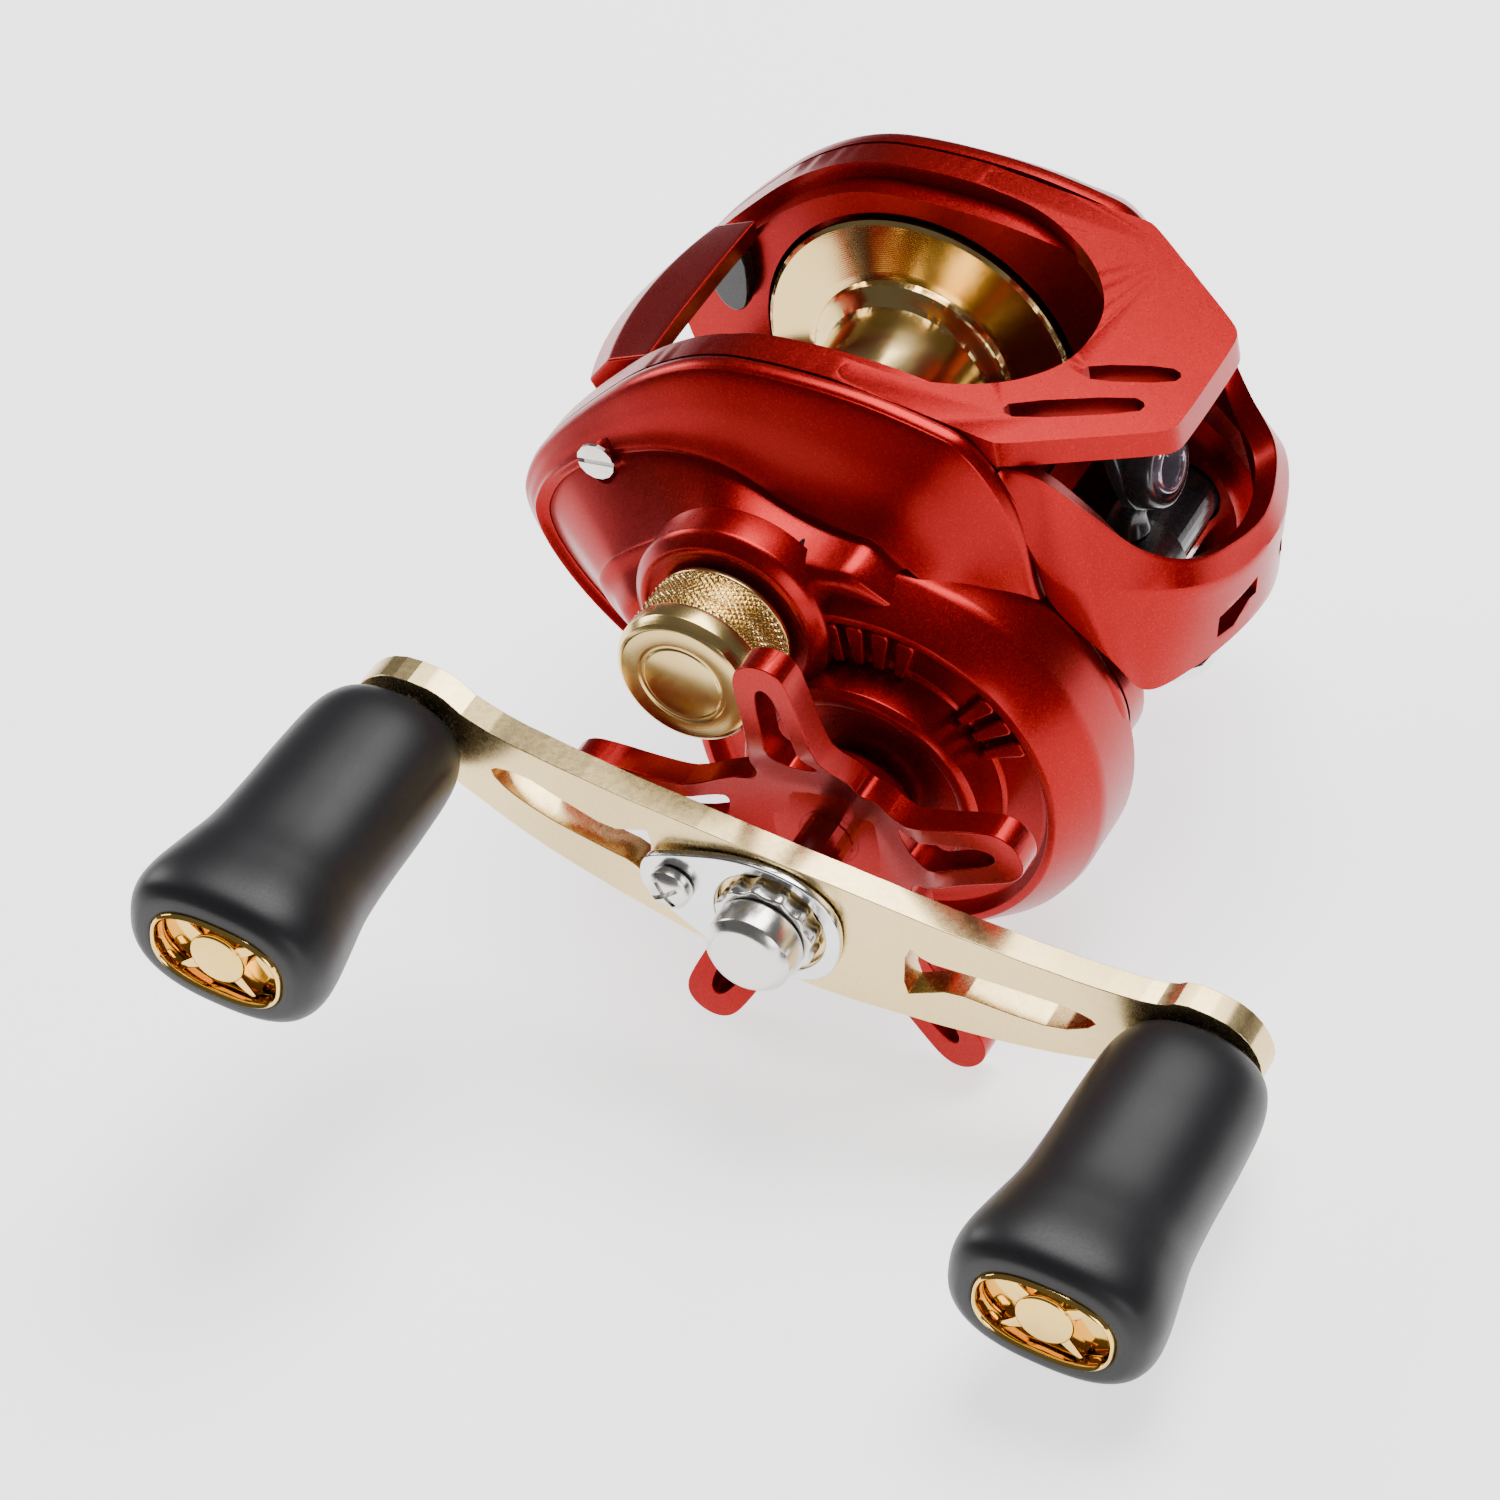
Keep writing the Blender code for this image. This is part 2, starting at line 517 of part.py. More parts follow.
def make_level_wind():
    idler_axis, worm_axis = (0, *IDLER), (0, *WORM)
    idler = gear_outline(IDLER_TEETH, LEVEL_MODULE, IDLER, LEVEL_ANGLE + math.pi + math.pi / IDLER_TEETH)
    cut(put("idler_gear", prism(idler, 18.8, 20.1), BLACK, idler_axis), rod(15, 30, 0.95, IDLER, 20))
    put("idler_stud", turned([(17.4, 0), (17.4, 0.85), (20.4, 0.85), (20.4, 1.5), (20.7, 1.5), (20.7, 0)],
                             IDLER, 20), STEEL, idler_axis)
    worm = gear_outline(WORM_TEETH, LEVEL_MODULE, WORM, LEVEL_ANGLE + math.pi)
    cut(put("worm_gear", prism(worm, 18.8, 20.1), BLACK, worm_axis), rod(15, 30, 1.1, WORM, 20))
    grooved = [(-14.8, 0), (-14.8, 1.5), (-11.2, 1.5), (-11.2, 2.3)]
    for k in range(7):
        x = -9.0 + k * 3.0
        grooved += [(x - 0.8, 2.3), (x, 1.7), (x + 0.8, 2.3)]
    grooved += [(11.2, 2.3), (11.2, 1.5), (18.4, 1.5), (18.4, 1.0), (20.3, 1.0), (20.3, 0)]
    put("worm_shaft", turned(grooved, WORM, 12), STEEL, worm_axis)
    tube = put("worm_cover", ring(-12.4, 12.4, 2.6, 3.4, WORM, 32), BLACK, worm_axis)
    slot = [polar(1.2, math.radians(-110), WORM), polar(6, math.radians(-110), WORM),
            polar(6, math.radians(-70), WORM), polar(1.2, math.radians(-70), WORM)]
    cut(tube, prism(slot, -10.8, 10.8))
    put("guide_rod", rod(-15.0, 15.0, 0.85, GUIDE_ROD, 20), STEEL, (0, *GUIDE_ROD))


GUIDE_EYE = (29.3, 1.3)


def make_line_guide():
    """The carriage that rides on the worm's cover, its neck and the eyelet that lays the line."""
    y, z = WORM
    foot = put("line_guide", turned([(-2.4, 3.75), (-2.4, 4.7), (2.4, 4.7), (2.4, 3.75)], WORM, 32), BLACK)
    neck = [(y - 2.2, z + 4.3), (y - 1.6, z + 7.6), (GUIDE_EYE[0] - 3.4, GUIDE_EYE[1] - 2.4),
            (GUIDE_EYE[0] - 0.4, GUIDE_EYE[1] - 3.4), (y + 2.0, z + 6.6), (y + 2.4, z + 4.0)]
    join(foot, prism(neck, -1.5, 1.5))
    tail = [(GUIDE_ROD[0] - 1.9, GUIDE_ROD[1] - 1.3), (GUIDE_ROD[0] + 1.9, GUIDE_ROD[1] - 1.3),
            (y + 2.6, z - 3.9), (y - 2.6, z - 3.9)]
    join(foot, prism(tail, -1.6, 1.6))
    cut(foot, rod(-5, 5, 0.95, GUIDE_ROD, 20))
    # the eyelet faces forward and tips back a little
    tilt = Matrix.Translation((0, *GUIDE_EYE)) @ Matrix.Rotation(math.radians(-18), 4, "X")
    holder = eyelet(((4.3, 3.9), (3.2, 2.8)), 1.5, tilt)
    join(foot, holder)
    put("line_guide_ring", eyelet(((2.9, 2.5), (2.1, 1.7)), 1.9, tilt), CERAMIC)
    pawl = put("pawl", tall_rod((0, y), z - 3.6, z - 2.45, 0.8), BRASS)
    return foot, pawl


def eyelet(radii, half_depth, place):
    """An oval ring whose axis runs along Y before it is placed."""
    (outer_x, outer_z), (inner_x, inner_z) = radii
    sides = 32
    mesh = bmesh.new()
    rows = []
    for x, z, y in ((outer_x, outer_z, -half_depth), (outer_x, outer_z, half_depth),
                    (inner_x, inner_z, half_depth), (inner_x, inner_z, -half_depth)):
        rows.append([mesh.verts.new(place @ Vector((x * math.cos(math.tau * i / sides), y,
                                                    z * math.sin(math.tau * i / sides))))
                     for i in range(sides)])
    for low, high in zip(rows, rows[1:] + rows[:1]):
        for i in range(sides):
            j = (i + 1) % sides
            mesh.faces.new((low[i], low[j], high[j], high[i]))
    return mesh


def tall_rod(centre, z0, z1, radius, sides=16):
    return upright(circle(radius, sides, centre), z0, z1)


# ---------------------------------------------------------------- controls

def make_star():
    """Five looped arms that lean out towards the handle."""
    axis = (0, *DRIVE)
    star = put("star_drag", turned([(33.2, 2.75), (33.2, 7.6), (36.4, 8.6), (38.4, 8.0), (38.4, 2.75)],
                                   DRIVE, 40), RED, axis)
    for k in range(5):
        angle = STAR_FIRST_ANGLE - math.tau * k / 5
        along = Vector((0, math.cos(angle), math.sin(angle)))
        across = Vector((0, -math.sin(angle), math.cos(angle)))
        sections = ((5.5, 4.8, 34.8), (10.0, 3.4, 36.9), (12.5, 2.9, 38.7), (13.8, 2.8, 39.4), (21.5, 2.7, 40.3),
                    (24.0, 1.3, 40.5))
        rings = []
        for radius, half, back in sections:
            base = Vector(axis) + along * radius
            rings.append([base + across * half + Vector((back, 0, 0)),
                          base - across * half + Vector((back, 0, 0)),
                          base - across * half + Vector((back + 2.8, 0, 0)),
                          base + across * half + Vector((back + 2.8, 0, 0))])
        join(star, loft(rings))
        slot = [polar(r, angle + a, DRIVE) for r, a in
                ((9.6, 0.13), (9.6, -0.13), (20.8, -0.05), (21.6, 0), (20.8, 0.05))]
        cut(star, prism(slot, 30, 45))
    cut(star, rod(30, 45, 2.75, DRIVE, 32))
    return star


def along_handle(distance, side=0.0):
    c, s = math.cos(HANDLE_ANGLE), math.sin(HANDLE_ANGLE)
    return (DRIVE[0] + distance * c - side * s, DRIVE[1] + distance * s + side * c)


def bowed(mesh):
    """Bend a flat arm so that its front follows ARM_FACE, in flat facets along its length."""
    c, s = math.cos(HANDLE_ANGLE), math.sin(HANDLE_ANGLE)
    for distance, _ in ARM_FACE[1:-1]:
        for sign in (1, -1):
            every = list(mesh.verts) + list(mesh.edges) + list(mesh.faces)
            place = (0, *along_handle(sign * distance))
            bmesh.ops.bisect_plane(mesh, geom=every, plane_co=place, plane_no=(0, c, s))
    for vertex in mesh.verts:
        distance = abs((vertex.co.y - DRIVE[0]) * c + (vertex.co.z - DRIVE[1]) * s)
        for (d0, x0), (d1, x1) in zip(ARM_FACE, ARM_FACE[1:]):
            if distance <= d1:
                vertex.co.x += x0 + (x1 - x0) * (distance - d0) / (d1 - d0)
                break
    return mesh


def make_handle():
    axis = (0, *DRIVE)
    half = [(0, 6.9), (7, 6.8), (13, 6.3), (23, 5.5), (33, 4.3), (36, 4.3), (37, 5.0), (41, 5.0), (44.4, 3.2),
            (45.6, 0), (44.4, -3.2), (41, -5.0), (37, -5.0), (33, -4.3), (23, -5.5), (13, -6.3), (7, -6.8)]
    outline = [along_handle(d, s) for d, s in half] + [along_handle(-d, -s) for d, s in half]
    arm = put("arm_blank", prism(outline, -ARM_THICKNESS, 0), GOLD)
    half_window = ((12.5, 2.6), (12.9, -3.6), (14.6, -2.6), (17.2, -1.2), (22, -1.6), (27, -1.9), (30.5, -0.3),
                   (29.5, 0.7), (26.5, 1.4), (22, 1.6), (17, 1.5), (14.5, 1.4))
    for sign in (1, -1):
        cut(arm, prism([along_handle(sign * d, sign * s) for d, s in half_window], -10, 10))
        cut(arm, rod(-10, 10, 1.7, along_handle(sign * KNOB_OFFSET), 24))
    cut(arm, rod(-10, 10, 2.35, DRIVE, 32), rod(-10, 10, 0.9, along_handle(-9.6), 16))
    mesh = bmesh.new()
    mesh.from_mesh(arm.data)
    bmesh.ops.scale(mesh, verts=mesh.verts, vec=(1 / MM, 1 / MM, 1 / MM))
    bmesh.ops.translate(mesh, verts=mesh.verts, vec=arm.location / MM)
    bmesh.ops.translate(mesh, verts=mesh.verts, vec=(0, SPOOL_BEHIND_FOOT, -SPOOL_ABOVE_FOOT))
    bpy.data.objects.remove(arm)
    put("handle_arm", bowed(mesh), GOLD, axis)
    plate = [along_handle(d, s) for d, s in
             ((-13.0, -1.8), (-13.0, 1.8), (-10.2, 3.4), (-4, 6.2), (2, 6.5), (6.2, 4.2), (7.2, 0),
              (6.2, -4.2), (2, -6.5), (-4, -6.2), (-10.2, -3.4))]
    retainer = put("handle_retainer", prism(plate, 49.1, 50.0), STEEL, axis)
    cut(retainer, rod(40, 60, 5.5, DRIVE, 32), rod(40, 60, 1.15, along_handle(-9.6), 16))
    cap_screw("retainer_screw", 46.6, 51.8, along_handle(-9.6), 0.8)
    nut = []
    for k in range(12):
        nut += [polar(5.1, math.tau * k / 12, DRIVE), polar(4.6, math.tau * (k + 0.5) / 12, DRIVE)]
    cut(put("handle_nut", prism(nut, 49.1, 51.5), STEEL, axis), rod(40, 60, 2.38, DRIVE, 32))
    cap = [(51.7, 0), (51.7, 4.3), (54.5, 4.1), (55.2, 3.4), (55.2, 0)]
    put("nut_cap", turned(cap, DRIVE, 36), STEEL, axis)


KNOB_SECTIONS = ((45.0, 4.6, 3.2), (45.7, 6.2, 4.4), (47.2, 7.1, 5.2), (50.0, 7.7, 5.8), (56.0, 8.0, 6.0),
                 (62.0, 8.1, 6.1), (67.0, 8.6, 6.4), (71.0, 9.3, 6.9), (75.0, 9.8, 7.2), (77.2, 9.5, 6.9),
                 (78.4, 8.4, 5.9))


def make_knob(name, distance):
    centre = along_handle(distance)
    axis = (0, *centre)
    post = [(40.3, 0), (40.3, 2.6), (41.2, 2.6), (41.2, 1.65), (44.5, 1.65), (44.5, 2.6), (44.8, 2.6),
            (44.8, 1.6), (74.0, 1.6), (74.0, 0)]
    put(f"{name}_post", turned(post, centre, 14), STEEL, axis)
    rings = []
    for x, wide, tall in KNOB_SECTIONS:
        row = []
        for i in range(20):
            a = math.tau * i / 20
            along, side = wide * math.cos(a), tall * math.sin(a)
            y, z = polar(along, HANDLE_ANGLE, centre)
            row.append((x, *polar(side, HANDLE_ANGLE + math.pi / 2, (y, z))))
        rings.append(row)
    knob = put(name, loft(rings), RUBBER, axis)
    cut(knob, rod(40, 74.4, 1.7, centre, 24), rod(75.4, 90, 3.9, centre, 24))
    cap = [(75.6, 0), (75.6, 3.6), (78.6, 3.6), (79.0, 3.2), (79.0, 0)]
    put(f"{name}_cap", turned(cap, centre, 32), GOLD, axis)


def make_dials():
    cast = put("cast_control_knob", turned([(39.0, 0), (39.0, 6.3), (37.6, 7.0), (30.6, 7.0), (30.6, 5.9),
                                            (37.2, 5.9), (37.2, 0)], sides=40), GOLD)
    dial = put("brake_dial", turned([(-28.2, 0), (-28.2, 9.6), (-27.0, 11.0), (-25.9, 11.0), (-25.9, 6.0),
                                     (-26.4, 6.0), (-26.4, 0)], sides=40), BLACK)
    for k in range(10):
        cut(dial, rod(-30, -27.4, 0.9, polar(10.6, math.tau * k / 10), 8))
    return cast, dial


def make_thumb_bar():
    """A curved plate behind the spool, held between the rings by a leg at each end."""
    half = RING_IN - 0.35
    rings = []
    for i in range(9):
        x = -half + 2 * half * i / 8
        bow = 1.0 - (x / half) ** 2
        rings.append([(x, -15.4 - 0.2 * bow, 13.6), (x, -15.6 - 0.2 * bow, 11.4),
                      (x, -21.6 - 1.6 * bow, 7.2), (x, -22.6 - 2.0 * bow, 9.4), (x, -20.0 - 1.6 * bow, 12.2)])
    bar = put("thumb_bar", loft(rings), RED)
    for side in (1, -1):
        x0, x1 = sorted((side * half, side * (half - 1.6)))
        leg = [(-16.0, 12.0), (-16.9, 4.6), (-18.6, 3.2), (-20.4, 4.6), (-21.0, 8.4)]
        join(bar, prism(leg, x0, x1))
    return bar


def make_screws():
    for number, centre in enumerate(COVER_SCREWS, 1):
        cap_screw(f"cover_screw_{number}", 13.6, 21.6, centre)
    for number, centre in enumerate(PALM_SCREWS, 1):
        cap_screw(f"palm_screw_{number}", -13.6, -21.2, centre, sign=-1)


def main():
    for old in list(bpy.data.objects):
        bpy.data.objects.remove(old)
    make_frame()
    make_hood()
    make_cowl()
    make_foot()
    make_handle_cover()
    make_palm_cover()
    make_gear_plate()
    make_clutch()
    make_spool()
    make_pinion()
    make_drive()
    make_level_wind()
    make_line_guide()
    make_star()
    make_handle()
    make_knob("knob_rear", -KNOB_OFFSET)
    make_knob("knob_front", KNOB_OFFSET)
    make_dials()
    make_thumb_bar()
    make_screws()


main()
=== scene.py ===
import json
import math

import bpy
from mathutils import Matrix, Vector


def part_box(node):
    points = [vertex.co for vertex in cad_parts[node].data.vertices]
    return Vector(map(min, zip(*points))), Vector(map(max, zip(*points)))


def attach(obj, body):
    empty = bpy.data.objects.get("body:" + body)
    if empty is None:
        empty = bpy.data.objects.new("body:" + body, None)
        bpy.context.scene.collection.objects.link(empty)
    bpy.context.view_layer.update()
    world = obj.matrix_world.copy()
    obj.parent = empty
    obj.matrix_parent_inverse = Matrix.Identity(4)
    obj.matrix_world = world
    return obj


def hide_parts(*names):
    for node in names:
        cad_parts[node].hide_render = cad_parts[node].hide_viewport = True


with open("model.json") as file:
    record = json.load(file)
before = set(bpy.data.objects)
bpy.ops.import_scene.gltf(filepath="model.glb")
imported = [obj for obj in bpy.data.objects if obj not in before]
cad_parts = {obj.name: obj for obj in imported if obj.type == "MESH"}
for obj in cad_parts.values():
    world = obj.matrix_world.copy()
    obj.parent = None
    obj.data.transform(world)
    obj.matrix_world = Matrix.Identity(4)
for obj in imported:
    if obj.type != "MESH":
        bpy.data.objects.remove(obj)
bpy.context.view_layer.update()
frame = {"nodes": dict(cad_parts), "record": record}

# The reel is shaped in millimetres from the spool's centre: X to the handle, Y to the rod tip, Z up.
# settle() then carries each piece to its place in the frame.
MM = 0.001


def middle(node):
    low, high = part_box(node)
    return (Vector(low) + Vector(high)) / 2


SPOOL = middle("spool")


def spot(node):
    """The Y and Z of a node's middle, in millimetres from the spool's axis."""
    where = (middle(node) - SPOOL) / MM
    return (where.y, where.z)


def reach_x(node):
    """The lowest and highest X of a node, in millimetres."""
    low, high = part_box(node)
    return ((low[0] - SPOOL.x) / MM, (high[0] - SPOOL.x) / MM)


DRIVE = spot("drive_gear")
KNOBS = {"knob_rear": spot("knob_rear_cap"), "knob_front": spot("knob_front_cap")}
WORM = spot("worm_shaft")
GUIDE_EYE = (29.3, 1.3)
HANDLE_ANGLE = math.atan2(KNOBS["knob_front"][1] - DRIVE[1], KNOBS["knob_front"][0] - DRIVE[0])
RETAINER_SCREW = spot("retainer_screw")
COVER_SCREWS = [spot("cover_screw_1"), spot("cover_screw_2")]
PALM_SCREWS = [spot("palm_screw_1"), spot("palm_screw_2"), spot("palm_screw_3")]
COVER_CENTRE = (2.0, -5.0)                         # every casing outline is read outwards from here
RING_IN, RING_OUT = 11.4, 17.0                     # the side rings' inner and outer face
COVER_IN = 17.35                                   # where each side cover starts
SPOOL_WELL = 16.5                                  # radius of the well the spool turns in
HOUSING_R = 21.0                                   # radius of the drum round the drive gear
DRUM_BORE = 17.4
ARM_THICKNESS = 3.0
STAR_ARMS = 5
STAR_FIRST = math.radians(91)
HOOD_REAR, HOOD_FRONT = 21.3, 36.0
HOOD_DROP = math.tan(math.radians(14.7))
GUIDE_TILT = math.radians(8)
MERGE_GAP = 1e-4
RING_OUTLINE = [(-28, 0), (-26, 5), (-22.5, 8.8), (-17.6, 13), (-12, 17.3), (-5, 20.3), (2, 20.3),
                (10.5, 19.1), (17, 17.1), (21.5, 15.3), (25.5, 7), (25.6, -2.5), (31.2, -7.6),
                (33, -15), (29, -20.8), (-8, -20.8), (-18, -16.5), (-24.5, -8.5)]


# ---------------------------------------------------------------- outlines

def polar(radius, angle, centre=(0.0, 0.0)):
    return (centre[0] + radius * math.cos(angle), centre[1] + radius * math.sin(angle))


def rounded(points, passes=3):
    """Cut the corners of a closed outline, again and again."""
    for _ in range(passes):
        cut = []
        for a, b in zip(points, points[1:] + points[:1]):
            cut.append((0.75 * a[0] + 0.25 * b[0], 0.75 * a[1] + 0.25 * b[1]))
            cut.append((0.25 * a[0] + 0.75 * b[0], 0.25 * a[1] + 0.75 * b[1]))
        points = cut
    return points


def reach(outline, origin, angle):
    """How far a ray from origin goes before it leaves a closed outline for good."""
    dy, dz = math.cos(angle), math.sin(angle)
    far = 0.0
    for a, b in zip(outline, outline[1:] + outline[:1]):
        ey, ez = b[0] - a[0], b[1] - a[1]
        cross = dy * ez - dz * ey
        if abs(cross) < 1e-12:
            continue
        oy, oz = a[0] - origin[0], a[1] - origin[1]
        along = (oy * ez - oz * ey) / cross
        across = (oy * dz - oz * dy) / cross
        if along > 0 and -1e-9 <= across <= 1 + 1e-9:
            far = max(far, along)
    return far


def bent(points, t):
    """A smooth curve through points of any size, read at t from 0 to 1."""
    place = min(max(t, 0.0), 1.0) * (len(points) - 1)
    i = min(int(place), len(points) - 2)
    t = place - i
    before, a = Vector(points[max(i - 1, 0)]), Vector(points[i])
    b, after = Vector(points[i + 1]), Vector(points[min(i + 2, len(points) - 1)])
    return 0.5 * ((2 * a) + (b - before) * t + (2 * before - 5 * a + 4 * b - after) * t ** 2
                  + (3 * a - before - 3 * b + after) * t ** 3)


# ---------------------------------------------------------------- modelling

def begin(name):
    piece = bpy.context.object
    piece.name = name
    piece.data.name = name
    return piece


def deselect():
    bpy.ops.object.select_all(action="DESELECT")


def tidy_mesh(fill=False):
    """Merge doubles, close holes if asked, and turn every face outwards; the piece is active."""
    bpy.ops.object.mode_set(mode="EDIT")
    bpy.ops.mesh.select_all(action="SELECT")
    bpy.ops.mesh.remove_doubles(threshold=MERGE_GAP)
    bpy.ops.mesh.delete_loose()
    if fill:
        bpy.ops.mesh.select_all(action="SELECT")
        bpy.ops.mesh.fill_holes(sides=0)
    bpy.ops.mesh.select_all(action="SELECT")
    bpy.ops.mesh.normals_make_consistent(inside=False)
    bpy.ops.object.mode_set(mode="OBJECT")


def plate(name, outline, x0, x1, flat=lambda y, z, x: (x, y, z)):
    """A flat plate of that outline in Y and Z, from x0 to x1; flat() can lay it another way."""
    deselect()
    bpy.ops.mesh.primitive_circle_add(vertices=len(outline), fill_type="NGON")
    piece = begin(name)
    for vertex, (y, z) in zip(piece.data.vertices, outline):
        vertex.co = flat(y, z, x0)
    shift = Vector(flat(0, 0, x1)) - Vector(flat(0, 0, x0))
    bpy.ops.object.mode_set(mode="EDIT")
    bpy.ops.mesh.select_all(action="SELECT")
    bpy.ops.mesh.extrude_region_move(TRANSFORM_OT_translate={"value": shift})
    bpy.ops.object.mode_set(mode="OBJECT")
    tidy_mesh()
    return piece


def turned(name, profile, centre=(0.0, 0.0), steps=96):
    """Spin (x, radius) points about an axis along X."""
    deselect()
    bpy.ops.mesh.primitive_circle_add(vertices=len(profile), fill_type="NOTHING")
    piece = begin(name)
    for vertex, (x, radius) in zip(piece.data.vertices, profile):
        vertex.co = (x, centre[0] + radius, centre[1])
    bpy.ops.object.mode_set(mode="EDIT")
    bpy.ops.mesh.select_all(action="SELECT")
    bpy.ops.mesh.spin(steps=steps, angle=math.tau, center=(0, *centre), axis=(1, 0, 0))
    bpy.ops.object.mode_set(mode="OBJECT")
    tidy_mesh()
    return piece


def skin(name, across, along, shape, closed=True):
    """A sheet laid over shape(u, v), u round it and v along it, with its open ends filled."""
    deselect()
    bpy.ops.mesh.primitive_grid_add(x_subdivisions=across, y_subdivisions=along, size=2)
    piece = begin(name)
    for vertex in piece.data.vertices:
        vertex.co = shape((vertex.co.x + 1) / 2, (vertex.co.y + 1) / 2)
    tidy_mesh(fill=closed)
    return piece


def use(piece, kind, **settings):
    """Add a modifier and apply it at once."""
    change = piece.modifiers.new(kind.lower(), kind)
    for key, value in settings.items():
        setattr(change, key, value)
    deselect()
    piece.select_set(True)
    bpy.context.view_layer.objects.active = piece
    bpy.ops.object.modifier_apply(modifier=change.name)
    return piece


def carve(piece, *tools, operation="DIFFERENCE"):
    for tool in tools:
        use(piece, "BOOLEAN", object=tool, operation=operation, solver="EXACT")
        bpy.data.objects.remove(tool)
    return piece


def weld(piece, *others):
    return carve(piece, *others, operation="UNION")


def soften(piece, width=0.3, segments=3, angle=32):
    """Round the sharp edges over, as a cast or machined edge is."""
    use(piece, "BEVEL", width=width, segments=segments, limit_method="ANGLE",
        angle_limit=math.radians(angle), harden_normals=False, use_clamp_overlap=True)
    return piece


def settle(piece, body, paint, *nodes, smooth=34):
    """Carry a finished piece to its place, paint it, and let it ride on its body."""
    piece.data.transform(Matrix.Translation(SPOOL) @ Matrix.Scale(MM, 4))
    piece.data.materials.clear()
    for one in paint if isinstance(paint, (list, tuple)) else [paint]:
        piece.data.materials.append(one)
    deselect()
    piece.select_set(True)
    bpy.context.view_layer.objects.active = piece
    bpy.ops.object.shade_smooth_by_angle(angle=math.radians(smooth))
    use(piece, "WEIGHTED_NORMAL", keep_sharp=True, weight=50)
    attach(piece, body)
    if nodes:
        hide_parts(*nodes)
    return piece


# ---------------------------------------------------------------- materials

class Signal:
    """A socket that Python can reckon with: each sum adds its Math node."""

    def __init__(self, paint, socket):
        self.paint = paint
        self.socket = socket

    def reckon(self, operation, first, second):
        return self.paint.node("ShaderNodeMath", {"operation": operation}, {0: first, 1: second})

    def __add__(self, other):
        return self.reckon("ADD", self, other)

    __radd__ = __add__

    def __sub__(self, other):
        return self.reckon("SUBTRACT", self, other)

    def __rsub__(self, other):
        return self.reckon("SUBTRACT", other, self)

    def __mul__(self, other):
        return self.reckon("MULTIPLY", self, other)

    __rmul__ = __mul__

    def __truediv__(self, other):
        return self.reckon("DIVIDE", self, other)

    def __pow__(self, other):
        return self.reckon("POWER", self, other)

class Paint:
    """A material whose nodes are made one by one."""

    def __init__(self, name, colour, roughness, metallic=0.0, **constants):
        self.material = bpy.data.materials.new(name)
        self.material.use_nodes = True
        self.tree = self.material.node_tree
        self.shader = self.tree.nodes["Principled BSDF"]
        self.shader.inputs["Base Color"].default_value = (*colour, 1)
        self.shader.inputs["Roughness"].default_value = roughness
        self.shader.inputs["Metallic"].default_value = metallic
        for key, value in constants.items():
            self.shader.inputs[key.replace("_", " ")].default_value = value
        self.place = self.node("ShaderNodeTexCoord", {}, {}, "Object")

    def node(self, kind, settings, inputs, output=0):
        made = self.tree.nodes.new(kind)
        for key, value in settings.items():
            setattr(made, key, value)
        for key, value in inputs.items():
            if isinstance(value, Signal):
                self.tree.links.new(value.socket, made.inputs[key])
            else:
                made.inputs[key].default_value = value
        return Signal(self, made.outputs[output])

    def feed(self, name, signal):
        self.tree.links.new(signal.socket, self.shader.inputs[name])

    def noise(self, scale, detail=2.0):
        inputs = {"Vector": self.place, "Scale": scale, "Detail": detail}
        return self.node("ShaderNodeTexNoise", {}, inputs, "Fac")

    def cells(self, scale, output="Distance"):
        return self.node("ShaderNodeTexVoronoi", {}, {"Vector": self.place, "Scale": scale}, output)

    def mix(self, factor, first, second):
        inputs = {0: factor, 6: (*first, 1) if isinstance(first, tuple) else first,
                  7: (*second, 1) if isinstance(second, tuple) else second}
        return self.node("ShaderNodeMix", {"data_type": "RGBA"}, inputs, 2)

    def between(self, value, low, high):
        """Value, from 0 to 1, read as a number from low to high."""
        return value * (high - low) + low

    def axis_distance(self, centre):
        """How far a point is from an axis along X, in metres."""
        there = Vector((0, centre[0], centre[1])) * MM + SPOOL
        parts = self.node("ShaderNodeSeparateXYZ", {}, {0: self.place}, 1)
        other = Signal(self, parts.socket.node.outputs[2])
        return ((parts - there.y) ** 2.0 + (other - there.z) ** 2.0) ** 0.5

    def bump(self, height, strength=0.2, distance=0.0001):
        inputs = {"Height": height, "Strength": strength, "Distance": distance}
        self.feed("Normal", self.node("ShaderNodeBump", {}, inputs))


def candy_red():
    """Satin metallic lacquer: fine bright flake under a clear coat."""
    paint = Paint("candy_red", (0.27, 0.0006, 0.001), 0.32, 0.9, Coat_Weight=0.12, Coat_Roughness=0.2)
    glint = paint.node("ShaderNodeSeparateColor", {}, {0: paint.cells(9000, "Color")}, 0)
    cloud = paint.noise(90, 3)
    deep = paint.mix(cloud, (0.24, 0.0005, 0.001), (0.31, 0.001, 0.002))
    paint.feed("Base Color", paint.mix((glint ** 6.0) * 0.30, deep, (0.62, 0.02, 0.02)))
    paint.feed("Roughness", paint.between(glint, 0.27, 0.38))
    paint.bump(glint * 0.3 + paint.noise(900, 2) * 0.5, 0.06, 0.00004)
    return paint.material


def lathe_gold(name, centre, lines=5200, rough=(0.10, 0.24)):
    """Turned, polished champagne gold with the fine rings a lathe tool leaves."""
    paint = Paint(name, (0.72, 0.50, 0.19), 0.16, 1.0)
    away = paint.axis_distance(centre)
    rings = paint.node("ShaderNodeMath", {"operation": "SINE"}, {0: away * lines * math.tau})
    uneven = paint.noise(260, 3)
    paint.feed("Base Color", paint.mix(uneven, (0.66, 0.45, 0.16), (0.78, 0.57, 0.25)))
    paint.feed("Roughness", paint.between(uneven, *rough))
    paint.bump(rings * 0.5 + 0.5, 0.08, 0.00002)
    return paint.material


